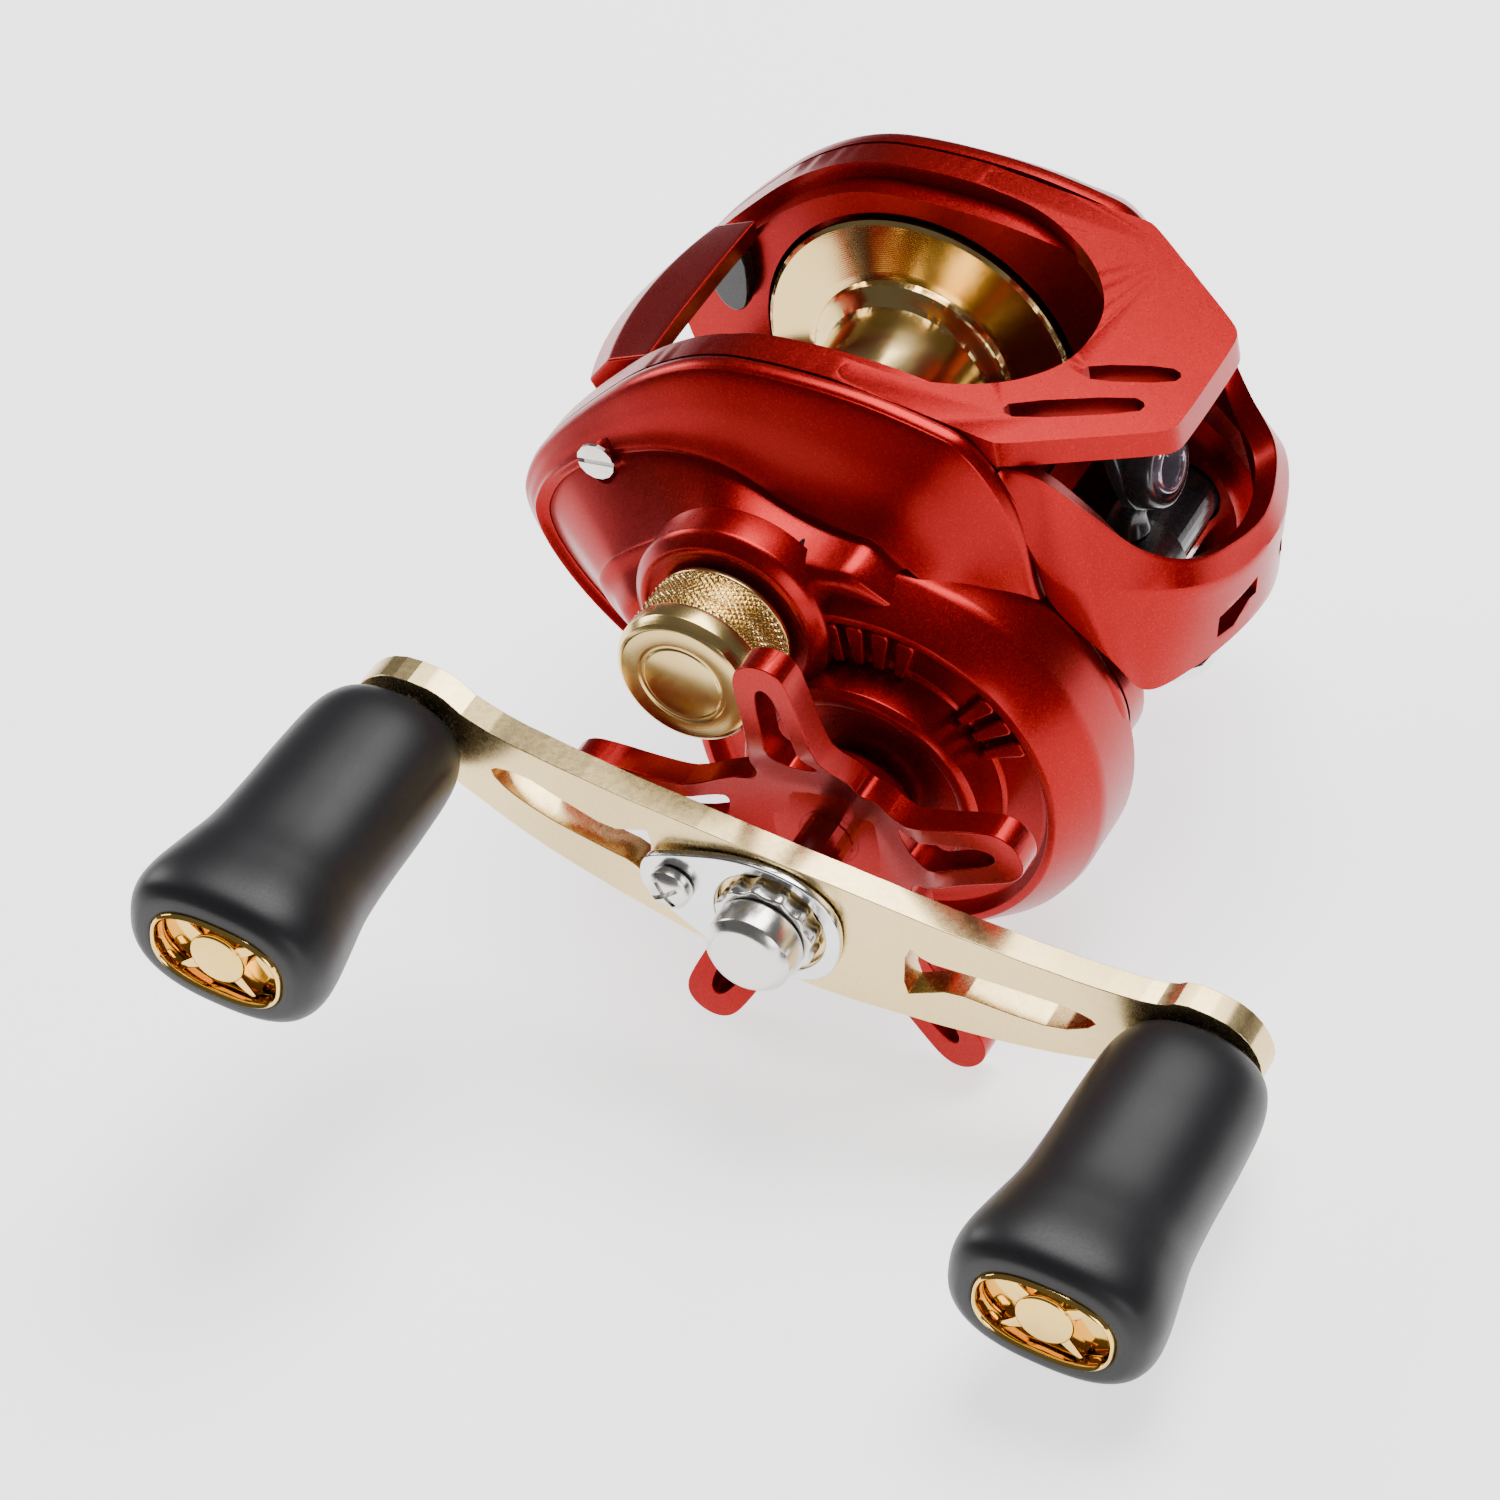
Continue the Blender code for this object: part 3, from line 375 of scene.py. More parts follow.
def satin_gold():
    paint = Paint("satin_gold", (0.76, 0.57, 0.27), 0.26, 1.0)
    grain = paint.noise(1500, 3)
    paint.feed("Base Color", paint.mix(paint.noise(60, 2), (0.72, 0.53, 0.24), (0.80, 0.61, 0.31)))
    paint.feed("Roughness", paint.between(grain, 0.20, 0.34))
    paint.bump(grain, 0.10, 0.00004)
    return paint.material


def hammered_gold():
    """The peened inner walls of the handle's windows, with painted shade in the dent hollows and a painted
    highlight on the rims between them.
    """
    paint = Paint("hammered_gold", (0.72, 0.52, 0.26), 0.38, 1.0)
    dents = paint.cells(2200)
    # painted shade and highlight: the colour is darker gold in each dent's hollow and near-white gold on the
    # rims between dents
    paint.feed("Base Color", paint.mix(dents, (0.62, 0.47, 0.24), (0.95, 0.82, 0.56)))
    paint.feed("Roughness", paint.between(paint.noise(2500), 0.28, 0.5))
    paint.bump(dents, 0.8, 0.0002)
    return paint.material


def mirror_gold():
    paint = Paint("mirror_gold", (0.80, 0.52, 0.13), 0.08, 1.0)
    cloud = paint.noise(400, 2)
    paint.feed("Base Color", paint.mix(cloud, (0.74, 0.46, 0.10), (0.86, 0.58, 0.18)))
    paint.feed("Roughness", paint.between(cloud, 0.05, 0.13))
    return paint.material


def nickel(name="nickel", rough=(0.16, 0.30), tint=(0.62, 0.60, 0.57)):
    paint = Paint(name, tint, 0.22, 1.0)
    grain = paint.noise(1800, 3)
    bright = tuple(min(c * 1.18, 1) for c in tint)
    paint.feed("Base Color", paint.mix(paint.noise(120, 2), tint, bright))
    paint.feed("Roughness", paint.between(grain, *rough))
    paint.bump(grain, 0.08, 0.00003)
    return paint.material


def soft_rubber():
    """Soft-touch black: a fine matt skin with a little sheen."""
    paint = Paint("soft_rubber", (0.008, 0.008, 0.009), 0.42, 0.0, Specular_IOR_Level=0.3)
    skin_grain = paint.noise(4200, 3)
    paint.feed("Base Color", paint.mix(paint.noise(140, 3), (0.006, 0.006, 0.007), (0.012, 0.012, 0.014)))
    paint.feed("Roughness", paint.between(skin_grain, 0.34, 0.50))
    paint.bump(skin_grain, 0.12, 0.00005)
    return paint.material


def black_plastic(name="black_plastic", rough=(0.12, 0.30)):
    paint = Paint(name, (0.012, 0.012, 0.013), 0.2)
    grain = paint.noise(1600, 4)
    paint.feed("Base Color", paint.mix(grain, (0.006, 0.006, 0.007), (0.028, 0.028, 0.030)))
    paint.feed("Roughness", paint.between(paint.noise(500, 2), *rough))
    paint.bump(grain, 0.15, 0.0001)
    return paint.material


def polished_ceramic():
    paint = Paint("polished_ceramic", (0.30, 0.28, 0.34), 0.08, 0.7, Coat_Weight=0.5)
    cloud = paint.noise(300, 3)
    paint.feed("Base Color", paint.mix(cloud, (0.22, 0.20, 0.27), (0.42, 0.40, 0.46)))
    paint.feed("Roughness", paint.between(cloud, 0.05, 0.14))
    return paint.material


def gear_brass():
    paint = Paint("gear_brass", (0.62, 0.42, 0.16), 0.3, 1.0)
    grain = paint.noise(1200, 4)
    paint.feed("Base Color", paint.mix(paint.noise(150, 3), (0.50, 0.32, 0.11), (0.74, 0.54, 0.24)))
    paint.feed("Roughness", paint.between(grain, 0.22, 0.42))
    paint.bump(grain, 0.12, 0.00004)
    return paint.material


def carbon_weave():
    paint = Paint("carbon_weave", (0.02, 0.02, 0.022), 0.4, 0.0, Coat_Weight=0.4)
    weave = paint.node("ShaderNodeTexChecker", {}, {"Vector": paint.place, "Scale": 900.0}, "Fac")
    paint.feed("Base Color", paint.mix(weave, (0.010, 0.010, 0.012), (0.045, 0.045, 0.05)))
    paint.feed("Roughness", paint.between(weave, 0.3, 0.5))
    paint.bump(weave, 0.3, 0.00008)
    return paint.material


def pale_floor():
    paint = Paint("pale_floor", (0.93, 0.925, 0.925), 0.65, Emission_Color=(1.0, 0.99, 0.99, 1.0),
                  Emission_Strength=1.6)
    cloud = paint.noise(6, 2)
    paint.feed("Base Color", paint.mix(cloud, (0.925, 0.92, 0.92), (0.94, 0.935, 0.935)))
    return paint.material


RED = candy_red()
SPOOL_GOLD = lathe_gold("spool_gold", (0, 0))
CAST_GOLD = lathe_gold("cast_gold", (0, 0), 4200, (0.16, 0.28))
ARM_GOLD = satin_gold()
WINDOW_GOLD = hammered_gold()
CAP_GOLD = mirror_gold()
NICKEL = nickel()
BRIGHT_STEEL = nickel("bright_steel", (0.10, 0.22), (0.68, 0.68, 0.69))
RUBBER = soft_rubber()
BLACK = black_plastic()
DIAL_BLACK = black_plastic("dial_black", (0.35, 0.5))
CERAMIC = polished_ceramic()
BRASS = gear_brass()
CARBON = carbon_weave()
FLOOR = pale_floor()

SLOT_PAINT = {"red_metal": RED, "gold_metal": ARM_GOLD, "polished_steel": BRIGHT_STEEL, "gear_brass": BRASS,
              "black_plastic": BLACK, "dial_plastic": DIAL_BLACK, "grip_rubber": RUBBER,
              "chrome_trim": NICKEL, "carbon_washer": CARBON}


def paint_cad_nodes():
    """The inner pieces keep their CAD shape and get their own finishes."""
    slots = {part["node"]: part["material_slot"] for part in frame["record"]["subparts"]}
    for name, node in frame["nodes"].items():
        node.data.materials.clear()
        node.data.materials.append(SLOT_PAINT[slots[name]])


# ---------------------------------------------------------------- casings

SMOOTH_RING = rounded(RING_OUTLINE)


def cover_point(angle, inset, x):
    far = reach(SMOOTH_RING, COVER_CENTRE, angle) - inset
    return (x, *polar(far, angle, COVER_CENTRE))


def smooth_rows(rows, step=3, blur=4):
    """Rows keyed by angle in degrees, read between the keys and evened out round the casing."""
    keys = sorted(rows)
    table = []
    for angle in range(0, 360, step):
        after = next((k for k in keys if k >= angle), keys[0] + 360)
        before = max((k for k in keys if k <= angle), default=keys[-1] - 360)
        t = (angle - before) / (after - before) if after != before else 0.0
        low, high = rows[before % 360], rows[after % 360]
        table.append([a + (b - a) * t for a, b in zip(low, high)])
    count = len(table)
    return [[sum(table[(i + k) % count][j] for k in range(-blur, blur + 1)) / (2 * blur + 1)
             for j in range(len(table[0]))] for i in range(count)]


def read_rows(table, angle):
    place = (angle / math.tau % 1.0) * len(table)
    i = int(place)
    low, high = table[i % len(table)], table[(i + 1) % len(table)]
    return [a + (b - a) * (place - i) for a, b in zip(low, high)]


def cover_dome(name, section, around, rows, relief=lambda point: point):
    """A casing whose section, from rim to crown, runs all round the ring's outline."""
    def shape(u, v):
        angle = math.tau * u
        inset, x = bent(section(angle), v)
        return relief(cover_point(angle, max(inset, -0.3), x))
    return skin(name, around, rows, shape)


def beside_drum(point):
    """Bring the crown down to the drum's crest where the two meet."""
    x, y, z = point
    crest, rise, start, blend = 26.9, 0.45, 18.6, 0.9
    limit = crest + rise * max(math.hypot(y - DRIVE[0], z - DRIVE[1]) - start, 0.0)
    over = x - limit
    if over > blend:
        return (limit, y, z)
    if over > -blend:
        return (x - (over + blend) ** 2 / (4 * blend), y, z)
    return point


def tube_tool(x0, x1, radius, centre, steps=64):
    return turned("tool", [(x0, 0), (x0, radius), (x1, radius), (x1, 0)], centre, steps)


# round the casing by degrees: inset and X of the upper fold, then of the crown's edge
COVER_FOLDS = {0: (4.6, 22.6, 8.0, 26.4), 20: (6.5, 23.6, 9.0, 26.4), 34: (9.4, 24.0, 11.4, 26.6),
               45: (11.0, 23.8, 13.2, 26.9), 57: (11.4, 23.4, 13.6, 27.0), 76: (11.0, 22.9, 13.4, 27.0),
               96: (9.6, 22.3, 12.8, 26.8), 118: (6.8, 21.6, 12.2, 26.5), 137: (3.9, 21.0, 11.6, 26.1),
               152: (2.6, 20.5, 11.6, 25.9), 172: (2.3, 20.5, 12.0, 26.0), 200: (2.6, 20.6, 11.0, 26.0),
               240: (3.2, 20.8, 10.0, 26.0), 300: (3.6, 21.5, 8.4, 26.4)}


def make_handle_cover():
    folds = smooth_rows(COVER_FOLDS)

    def section(angle):
        inset1, x1, inset2, x2 = read_rows(folds, angle)
        rise = (x1 - 19.2) / 3
        width = inset2 - inset1
        return [(0.0, COVER_IN), (0.0, 17.9), (0.25, 18.6), (0.9, 19.15),
                (inset1 * 0.36 + 0.6, 19.2 + rise * 1.1), (inset1 * 0.72 + 0.3, 19.2 + rise * 2.1),
                (inset1 - 0.12, x1 - 0.05), (inset1 + 0.12, x1 - 0.05),
                (inset1 + 0.5 + width * 0.06, x1 - 0.5), (inset1 + 0.9 + width * 0.1, x1 - 0.1),
                (inset2 - 0.25, x2 - 0.4), (inset2 + 0.35, x2 + 0.45), (inset2 + 2.2, x2 + 1.5),
                (inset2 + 4.2, 29.1), (inset2 + 6.0, 29.5)]
    dome = cover_dome("side_cover_shell", section, 288, 104, beside_drum)
    carve(dome, tube_tool(26.3, 50, DRUM_BORE, DRIVE, 128), tube_tool(10, 30, 6.9, DRIVE),
          tube_tool(10, 50, 4.6, (0, 0)))
    for centre, radius in zip(COVER_SCREWS, (2.35, 2.25)):
        carve(dome, tube_tool(20.3, 50, radius, centre))
    soften(dome, 0.25, 3, 40)
    settle(dome, "frame", RED, "handle_side_cover")
    drum = [(17.3, 19.2), (17.3, HOUSING_R), (23.4, HOUSING_R), (24.6, 20.7), (27.4, 18.9), (28.4, 18.1),
            (28.5, 17.3), (27.6, 17.0), (27.0, 16.6), (26.8, 16.0), (26.8, 12.6), (27.2, 12.2), (31.2, 11.9),
            (31.8, 11.5), (31.9, 10.9), (31.8, 10.4), (31.2, 10.2), (31.0, 9.8), (30.9, 3.9), (30.7, 3.9),
            (30.7, 7.3), (26.0, 7.3), (26.0, 19.2)]
    settle(soften(turned("gear_housing", drum, DRIVE, 192), 0.3, 3, 25), "frame", RED)
    seat = [(25.5, 4.45), (25.5, 9.8), (28.9, 9.8), (29.4, 9.5), (30.2, 8.7), (30.3, 8.1), (30.1, 7.7),
            (29.9, 5.6), (35.9, 5.5), (35.9, 4.45)]
    settle(soften(turned("cast_seat", seat, (0, 0), 128), 0.2, 3, 25), "frame", RED)
    rib_pitch = 9
    for number, (group_angle, steps) in enumerate(((84, (-1.5, -0.5, 0.5, 1.5)), (30, (-1, 0, 1)))):
        for step in steps:
            angle = math.radians(group_angle + step * rib_pitch)
            settle(groove_rib(f"housing_rib_{number + 1}_{round(step + 2.5)}", angle), "frame", RED)


def groove_rib(name, angle):
    """A raised radial rib in the groove round the drive boss."""
    along = Vector((math.cos(angle), math.sin(angle)))
    side = Vector((-along.y, along.x))
    outline = []
    for r, w in ((12.5, 0.55), (16.4, 0.9), (16.9, 0.6), (16.9, -0.6), (16.4, -0.9), (12.5, -0.55)):
        p = Vector(DRIVE) + along * r + side * w
        outline.append((p.x, p.y))
    return soften(plate(name, outline, 26.5, 28.2), 0.3, 3)


def make_palm_cover():
    section = [(0.0, -COVER_IN), (0.0, -18.2), (0.2, -19.0), (1.2, -19.9), (2.4, -21.6), (4.2, -23.6),
               (6.8, -25.2), (8.2, -25.9), (9.6, -26.4), (11.5, -26.6)]
    dome = cover_dome("palm_cover_shell", lambda angle: section, 240, 72)
    carve(dome, tube_tool(-40, -25.6, 11.4, (0, 0), 96))
    for centre in PALM_SCREWS:
        carve(dome, tube_tool(-50, -20.3, 2.25, centre))
    settle(soften(dome, 0.25, 3, 40), "frame", RED, "palm_side_cover")
    dial = [(-28.1, 0), (-28.1, 8.9), (-27.8, 9.6), (-27.0, 10.9), (-25.95, 11.0), (-25.95, 6.0),
            (-26.4, 5.9), (-26.4, 0)]
    knob = turned("brake_dial_cap", dial, (0, 0), 144)
    flutes = 20
    for k in range(flutes):
        carve(knob, tube_tool(-30, -26.8, 0.62, polar(11.15, math.tau * k / flutes), 20))
    carve(knob, turned("tool", [(-30, 5.2), (-30, 5.9), (-27.8, 5.9), (-27.8, 5.2)], (0, 0), 96))
    settle(soften(knob, 0.15, 2, 40), "brake_dial", DIAL_BLACK, "brake_dial")


def inset_ring(amount, count=160):
    """The side rings' outline, drawn in by that amount."""
    return [cover_point(math.tau * i / count, amount, 0)[1:] for i in range(count)]


def make_frame():
    body = plate("side_rings", inset_ring(1.7), -RING_OUT, RING_OUT)
    weld(body, plate("tool", inset_ring(0.0), 13.9, RING_OUT),
         plate("tool", inset_ring(0.0), -RING_OUT, -13.9))
    throat = tube_tool(-30, 30, SPOOL_WELL, (0, 0), 160)
    room = [(-32, -6.5), (-22.5, -6.5), (-19.5, -4.0), (-14.5, -4.0), (0, -4), (18.3, -6.3),
            (18.3, -17.2), (29.5, -17.2), (29.5, -19.4), (40, -19.4), (40, 25), (-32, 25)]
    under = [(-40, -30), (-40, -8.8), (-23.5, -8.8), (-17.6, -13.8), (-10, -18.3), (40, -18.3), (40, -30)]
    above = [(4, 30), (4, 20.42), (21.3, 15.88), (40, 10.98), (40, 30)]
    carve(body, throat, plate("tool", room, -RING_IN, RING_IN), plate("tool", under, -RING_IN, RING_IN),
          plate("tool", above, -40, 40), tube_tool(-40, 40, 2.65, DRIVE), tube_tool(-15.2, 40, 1.6, WORM),
          tube_tool(-12.6, 12.6, 3.75, WORM))
    weld(body, hood_plate())
    settle(soften(body, 0.4, 4, 30), "frame", RED, "frame", "top_hood")


def hood_plate():
    """The sloping plate over the line guide, swept back into both rings round the spool's window."""
    half = [(RING_OUT, 7.6), (17.05, 17.0), (17.3, 22.6), (17.1, 23.6), (12.9, 29.0), (8.6, 34.6),
            (7.4, 35.7), (5.6, HOOD_FRONT)]
    window = [(0, 24.8), (2.6, 24.6), (5.0, 23.9), (7.4, 22.5), (9.4, 20.8), (11.0, 18.8), (12.4, 16.4),
              (13.3, 14.2), (13.8, 12.0), (13.9, 7.6)]
    other = [(-x, y) for x, y in reversed(half)]
    back = [(-x, y) for x, y in reversed(window)]
    outline = half + other + back + window[1:]

    def slope(x, y, z):
        return (x, y, z - (y - HOOD_REAR) * HOOD_DROP)
    hood = plate("line_hood", rounded(outline, 2), 15.9, 13.3, slope)
    for x0, y0, x1, y1 in ((4.3, 26.8, 0.9, 32.8), (12.4, 22.9, 6.2, 31.6)):
        along = Vector((x1 - x0, y1 - y0)).normalized()
        side = Vector((-along.y, along.x)) * 1.1
        start, end = Vector((x0, y0)), Vector((x1, y1))
        slot = [start + side, start - along * 1.3, start - side, end - side, end + along * 1.1, end + side]
        carve(hood, plate("tool", rounded([tuple(p) for p in slot], 1), 0, 30, lambda x, y, z: (x, y, z)))
    return hood


# round the line window from the handle side: five corners of the band's section at each station
COWL_STATIONS = [
    ((16.8, 23.4, 12.4), (17.6, 22.9, 12.0), (17.6, 26.1, 6.5), (15.0, 26.1, 6.5), (15.0, 23.6, 12.2)),
    ((16.5, 26.9, 11.4), (18.2, 26.3, 3.0), (18.2, 26.5, -0.6), (15.4, 26.5, -0.6), (14.6, 26.8, 10.6)),
    ((14.4, 30.2, 6.6), (17.0, 29.9, 0.0), (17.6, 31.8, -7.4), (14.8, 31.4, -7.0), (12.8, 29.8, 5.6)),
    ((12.1, 33.5, 1.6), (14.2, 33.0, -1.9), (15.4, 33.6, -12.0), (13.2, 32.6, -11.0), (10.8, 32.2, 0.2)),
    ((9.0, 37.0, -1.0), (10.6, 37.2, -3.3), (9.8, 35.9, -13.1), (8.6, 33.8, -12.2), (8.0, 35.2, -2.2)),
    ((4.5, 38.9, -2.0), (5.6, 39.4, -4.7), (4.8, 37.9, -12.7), (4.2, 35.6, -11.8), (4.0, 36.8, -3.2)),
    ((0.0, 39.6, -2.4), (0.0, 40.5, -4.5), (0.0, 38.8, -12.3), (0.0, 36.4, -11.6), (0.0, 37.3, -3.6)),
]


def make_cowl():
    other = [[(-x, y, z) for x, y, z in station] for station in reversed(COWL_STATIONS[:-1])]
    stations = COWL_STATIONS + other
    corners = [[station[k] for station in stations] for k in range(5)]

    def shape(u, v):
        place = u * 5
        k = int(place) % 5
        t = place - int(place)
        return bent(corners[k], v).lerp(bent(corners[(k + 1) % 5], v), t)
    cowl = skin("front_cowl_band", 40, 120, shape)
    for side in (1, -1):
        slot = [(2.6 * side, -7.4), (7.6 * side, -8.8), (7.6 * side, -11.2), (5.6 * side, -11.2),
                (3.6 * side, -9.4), (2.6 * side, -9.4)]
        carve(cowl, plate("tool", slot, 30, 45, lambda x, z, y: (x, y, z)))
    settle(soften(cowl, 0.4, 3, 38), "frame", RED, "front_cowl")


def make_thumb_bar():
    half = 11.05
    edges = [[], [], [], [], []]
    for i in range(9):
        x = -half + 2 * half * i / 8
        bow = 1.0 - (x / half) ** 2
        points = ((x, -15.4 - 0.2 * bow, 13.6), (x, -15.6 - 0.2 * bow, 11.4), (x, -21.6 - 1.6 * bow, 7.2),
                  (x, -22.6 - 2.0 * bow, 9.4), (x, -20.0 - 1.6 * bow, 12.2))
        for k, point in enumerate(points):
            edges[k].append(point)

    def shape(u, v):
        place = u * 5
        k = int(place) % 5
        return bent(edges[k], v).lerp(bent(edges[(k + 1) % 5], v), place - int(place))
    bar = skin("thumb_bar_plate", 30, 48, shape)
    settle(soften(bar, 0.5, 4, 25), "thumb_bar", RED, "thumb_bar")
    for side in (1, -1):
        x0, x1 = sorted((side * half, side * (half - 1.6)))
        leg = [(-16.4, 11.6), (-16.9, 4.6), (-18.6, 3.2), (-20.4, 4.6), (-21.0, 7.9)]
        name = "thumb_bar_leg_near" if side > 0 else "thumb_bar_leg_far"
        settle(soften(plate(name, rounded(leg, 2), x0, x1), 0.2, 2), "thumb_bar", BLACK)


def make_foot():
    """The foot keeps its CAD shape, with its edges rounded over."""
    source = frame["nodes"]["reel_foot"]
    deselect()
    bpy.ops.mesh.primitive_plane_add()
    piece = begin("rod_foot")
    piece.data = source.data.copy()
    piece.data.transform(Matrix.Scale(1 / MM, 4) @ Matrix.Translation(-SPOOL) @ source.matrix_world)
    bpy.ops.object.mode_set(mode="EDIT")
    bpy.ops.mesh.select_all(action="SELECT")
    bpy.ops.mesh.remove_doubles(threshold=0.001)
    bpy.ops.mesh.dissolve_limited(angle_limit=math.radians(1))
    bpy.ops.object.mode_set(mode="OBJECT")
    settle(soften(piece, 0.35, 3, 35), "frame", BRIGHT_STEEL, "reel_foot")


# ---------------------------------------------------------------- spool and line guide

def make_spool():
    side = [(11.5, 15.7), (11.4, 16.0), (10.9, 16.0), (10.6, 15.6), (10.35, 14.6), (9.55, 11.2), (9.2, 10.4),
            (8.6, 10.2), (8.2, 9.8), (7.9, 9.1), (7.4, 8.6), (6.4, 8.4)]
    outer = side + [(0, 8.3)] + [(-x, r) for x, r in reversed(side)]
    inner = [(-11.1, 14.6), (-9.9, 8.8), (-8.4, 5.6), (8.4, 5.6), (9.9, 8.8), (11.1, 14.6)]
    body = turned("line_spool", outer + inner, (0, 0), 192)
    weld(body, turned("hub", [(-1.5, 1.6), (-1.5, 5.9), (1.5, 5.9), (1.5, 1.6)], (0, 0), 64))
    settle(soften(body, 0.18, 3, 22), "spool", SPOOL_GOLD, "spool")


def oval_ring(name, outer, inner, half_depth, place, steps=96):
    """A rounded oval ring whose hole runs along Y before it is placed."""
    def shape(u, v):
        turn = math.tau * u
        across = math.tau * v
        c = math.cos(across)
        reach_out = (c * abs(c) ** -0.3) if abs(c) > 1e-6 else 0.0
        mid_x, mid_z = (outer[0] + inner[0]) / 2, (outer[1] + inner[1]) / 2
        half = (outer[0] - inner[0]) / 2
        x = (mid_x + half * reach_out) * math.cos(turn)
        z = (mid_z + half * reach_out) * math.sin(turn)
        return place @ Vector((x, half_depth * math.sin(across), z))
    return skin(name, steps, 32, shape, closed=False)


def make_line_guide():
    y, z = WORM
    carriage = turned("guide_carriage", [(-2.2, 3.75), (-2.2, 4.4), (2.2, 4.4), (2.2, 3.75)], WORM, 96)
    settle(soften(carriage, 0.25, 3), "line_guide", BLACK, "line_guide")
    path = [(0, y - 0.2, z + 4.2), (0, y + 0.1, z + 6.0), (0, y + 0.9, z + 7.6),
            (0, GUIDE_EYE[0] - 1.6, GUIDE_EYE[1] - 3.2)]
    widths = [(2.1, 2.3), (1.6, 1.9), (1.5, 1.7), (2.0, 1.5)]

    def neck(u, v):
        centre = bent(path, v)
        wide, deep = bent(widths, v)
        c, s = math.cos(math.tau * u), math.sin(math.tau * u)
        return (wide * c, centre.y + deep * s, centre.z + 0.2 * s)
    settle(skin("guide_neck", 40, 30, neck), "line_guide", BLACK)
    tail_base = spot("guide_rod")
    tail = [(tail_base[0] - 1.8, tail_base[1] - 1.2), (tail_base[0] + 1.8, tail_base[1] - 1.2),
            (y + 2.6, z - 4.0), (y - 2.6, z - 4.0)]
    foot = plate("guide_tail", tail, -1.6, 1.6)
    settle(soften(carve(foot, tube_tool(-5, 5, 0.95, tail_base, 32)), 0.3, 3), "line_guide", BLACK)
    tilt = Matrix.Translation((0, *GUIDE_EYE)) @ Matrix.Rotation(GUIDE_TILT, 4, "X")

    def upright(x, z, y):
        return tuple(tilt @ Vector((x, y, z)))
    wing = [(-6.5, 3.4), (-6.8, 1.2), (-3.6, -2.6), (-1.6, -4.2), (1.6, -4.2), (3.6, -2.4), (4.2, 1.2),
            (4.2, 4.4), (2.4, 5.0), (-4.4, 5.0)]
    shield = plate("guide_shield", rounded(wing, 1), -2.6, -1.2, upright)
    turns = [math.tau * i / 48 for i in range(48)]
    bore = [(2.6 * math.cos(turn), 2.2 * math.sin(turn)) for turn in turns]
    carve(shield, plate("tool", bore, -6, 6, upright))
    settle(soften(shield, 0.3, 3), "line_guide", BLACK)
    holder = oval_ring("guide_eye_holder", (4.3, 3.9), (2.75, 2.35), 1.55, tilt)
    settle(holder, "line_guide", BLACK, smooth=60)
    eye = oval_ring("guide_eye_ring", (2.95, 2.55), (2.0, 1.6), 1.9, tilt)
    settle(eye, "line_guide", CERAMIC, "line_guide_ring", smooth=60)


# ---------------------------------------------------------------- cast control, star and handle

def knurled(name, x0, x1, radius, height, around, rows):
    """A band of small diamond pyramids."""
    def tooth(t):
        return abs((t % 1.0) * 2 - 1)

    def shape(u, v):
        x = x0 + (x1 - x0) * v
        a, b = u * around + v * rows, u * around - v * rows
        fade = min(1.0, v * 14, (1 - v) * 14)
        peak = (1 - max(tooth(a), tooth(b))) * 2
        return (x, *polar(radius + fade * height * min(peak, 1.0), math.tau * u))
    return skin(name, around * 8, rows * 8 + 2, shape)


def make_cast_control():
    band = knurled("cast_knob_grip", 31.2, 36.0, 6.72, 0.3, 60, 7)
    settle(band, "cast_control", CAST_GOLD, smooth=25)
    cap = [(30.6, 5.9), (30.6, 6.7), (30.8, 6.9), (31.25, 6.9), (31.4, 6.6), (35.8, 6.6), (36.0, 6.95),
           (36.4, 7.0), (37.9, 7.0), (38.7, 6.5), (38.95, 6.1), (38.95, 4.4), (38.8, 4.3), (38.8, 3.9),
           (38.95, 3.8), (38.95, 0), (37.2, 0), (37.2, 5.9)]
    settle(soften(turned("cast_knob_cap", cap, (0, 0), 160), 0.12, 3, 25), "cast_control", CAST_GOLD,
           "cast_control_knob")


def make_star():
    reach_at = [(24.2, 0.0), (23.9, 1.4), (23.0, 2.4), (21.3, 2.9), (16.0, 3.1), (12.5, 3.6), (9.8, 4.8)]
    angles = [STAR_FIRST + math.tau * k / STAR_ARMS for k in range(STAR_ARMS)]
    outline = []
    for angle in angles:
        for r, w in reversed(reach_at[1:]):
            outline.append(star_point(angle, r, -w))
        for r, w in reach_at:
            outline.append(star_point(angle, r, w))
        outline.append(polar(8.6, angle + math.pi / STAR_ARMS, DRIVE))
    star = plate("star_wheel", rounded(outline, 2), 0, 3.0)
    for angle in angles:
        slot = [star_point(angle, r, w) for r, w in
                ((9.6, -2.1), (9.2, 0), (9.6, 2.1), (14, 1.55), (20.4, 1.0), (21.6, 0), (20.4, -1.0),
                 (14, -1.55))]
        carve(star, plate("tool", rounded(slot, 2), -5, 10))
    soften(star, 0.55, 4, 30)
    slices(star, [(0, *DRIVE)], [(0, 1, 0), (0, 0, 1)], 24, 2.0)
    dish(star)
    hub = [(33.2, 2.8), (33.2, 6.6), (34.0, 7.4), (36.6, 8.2), (37.6, 7.9), (37.9, 7.0), (37.9, 2.8)]
    settle(soften(turned("star_hub", hub, DRIVE, 96), 0.3, 3, 25), "star", RED)
    settle(star, "star", RED, "star_drag")


def star_point(angle, radius, side):
    c, s = math.cos(angle), math.sin(angle)
    return (DRIVE[0] + radius * c - side * s, DRIVE[1] + radius * s + side * c)


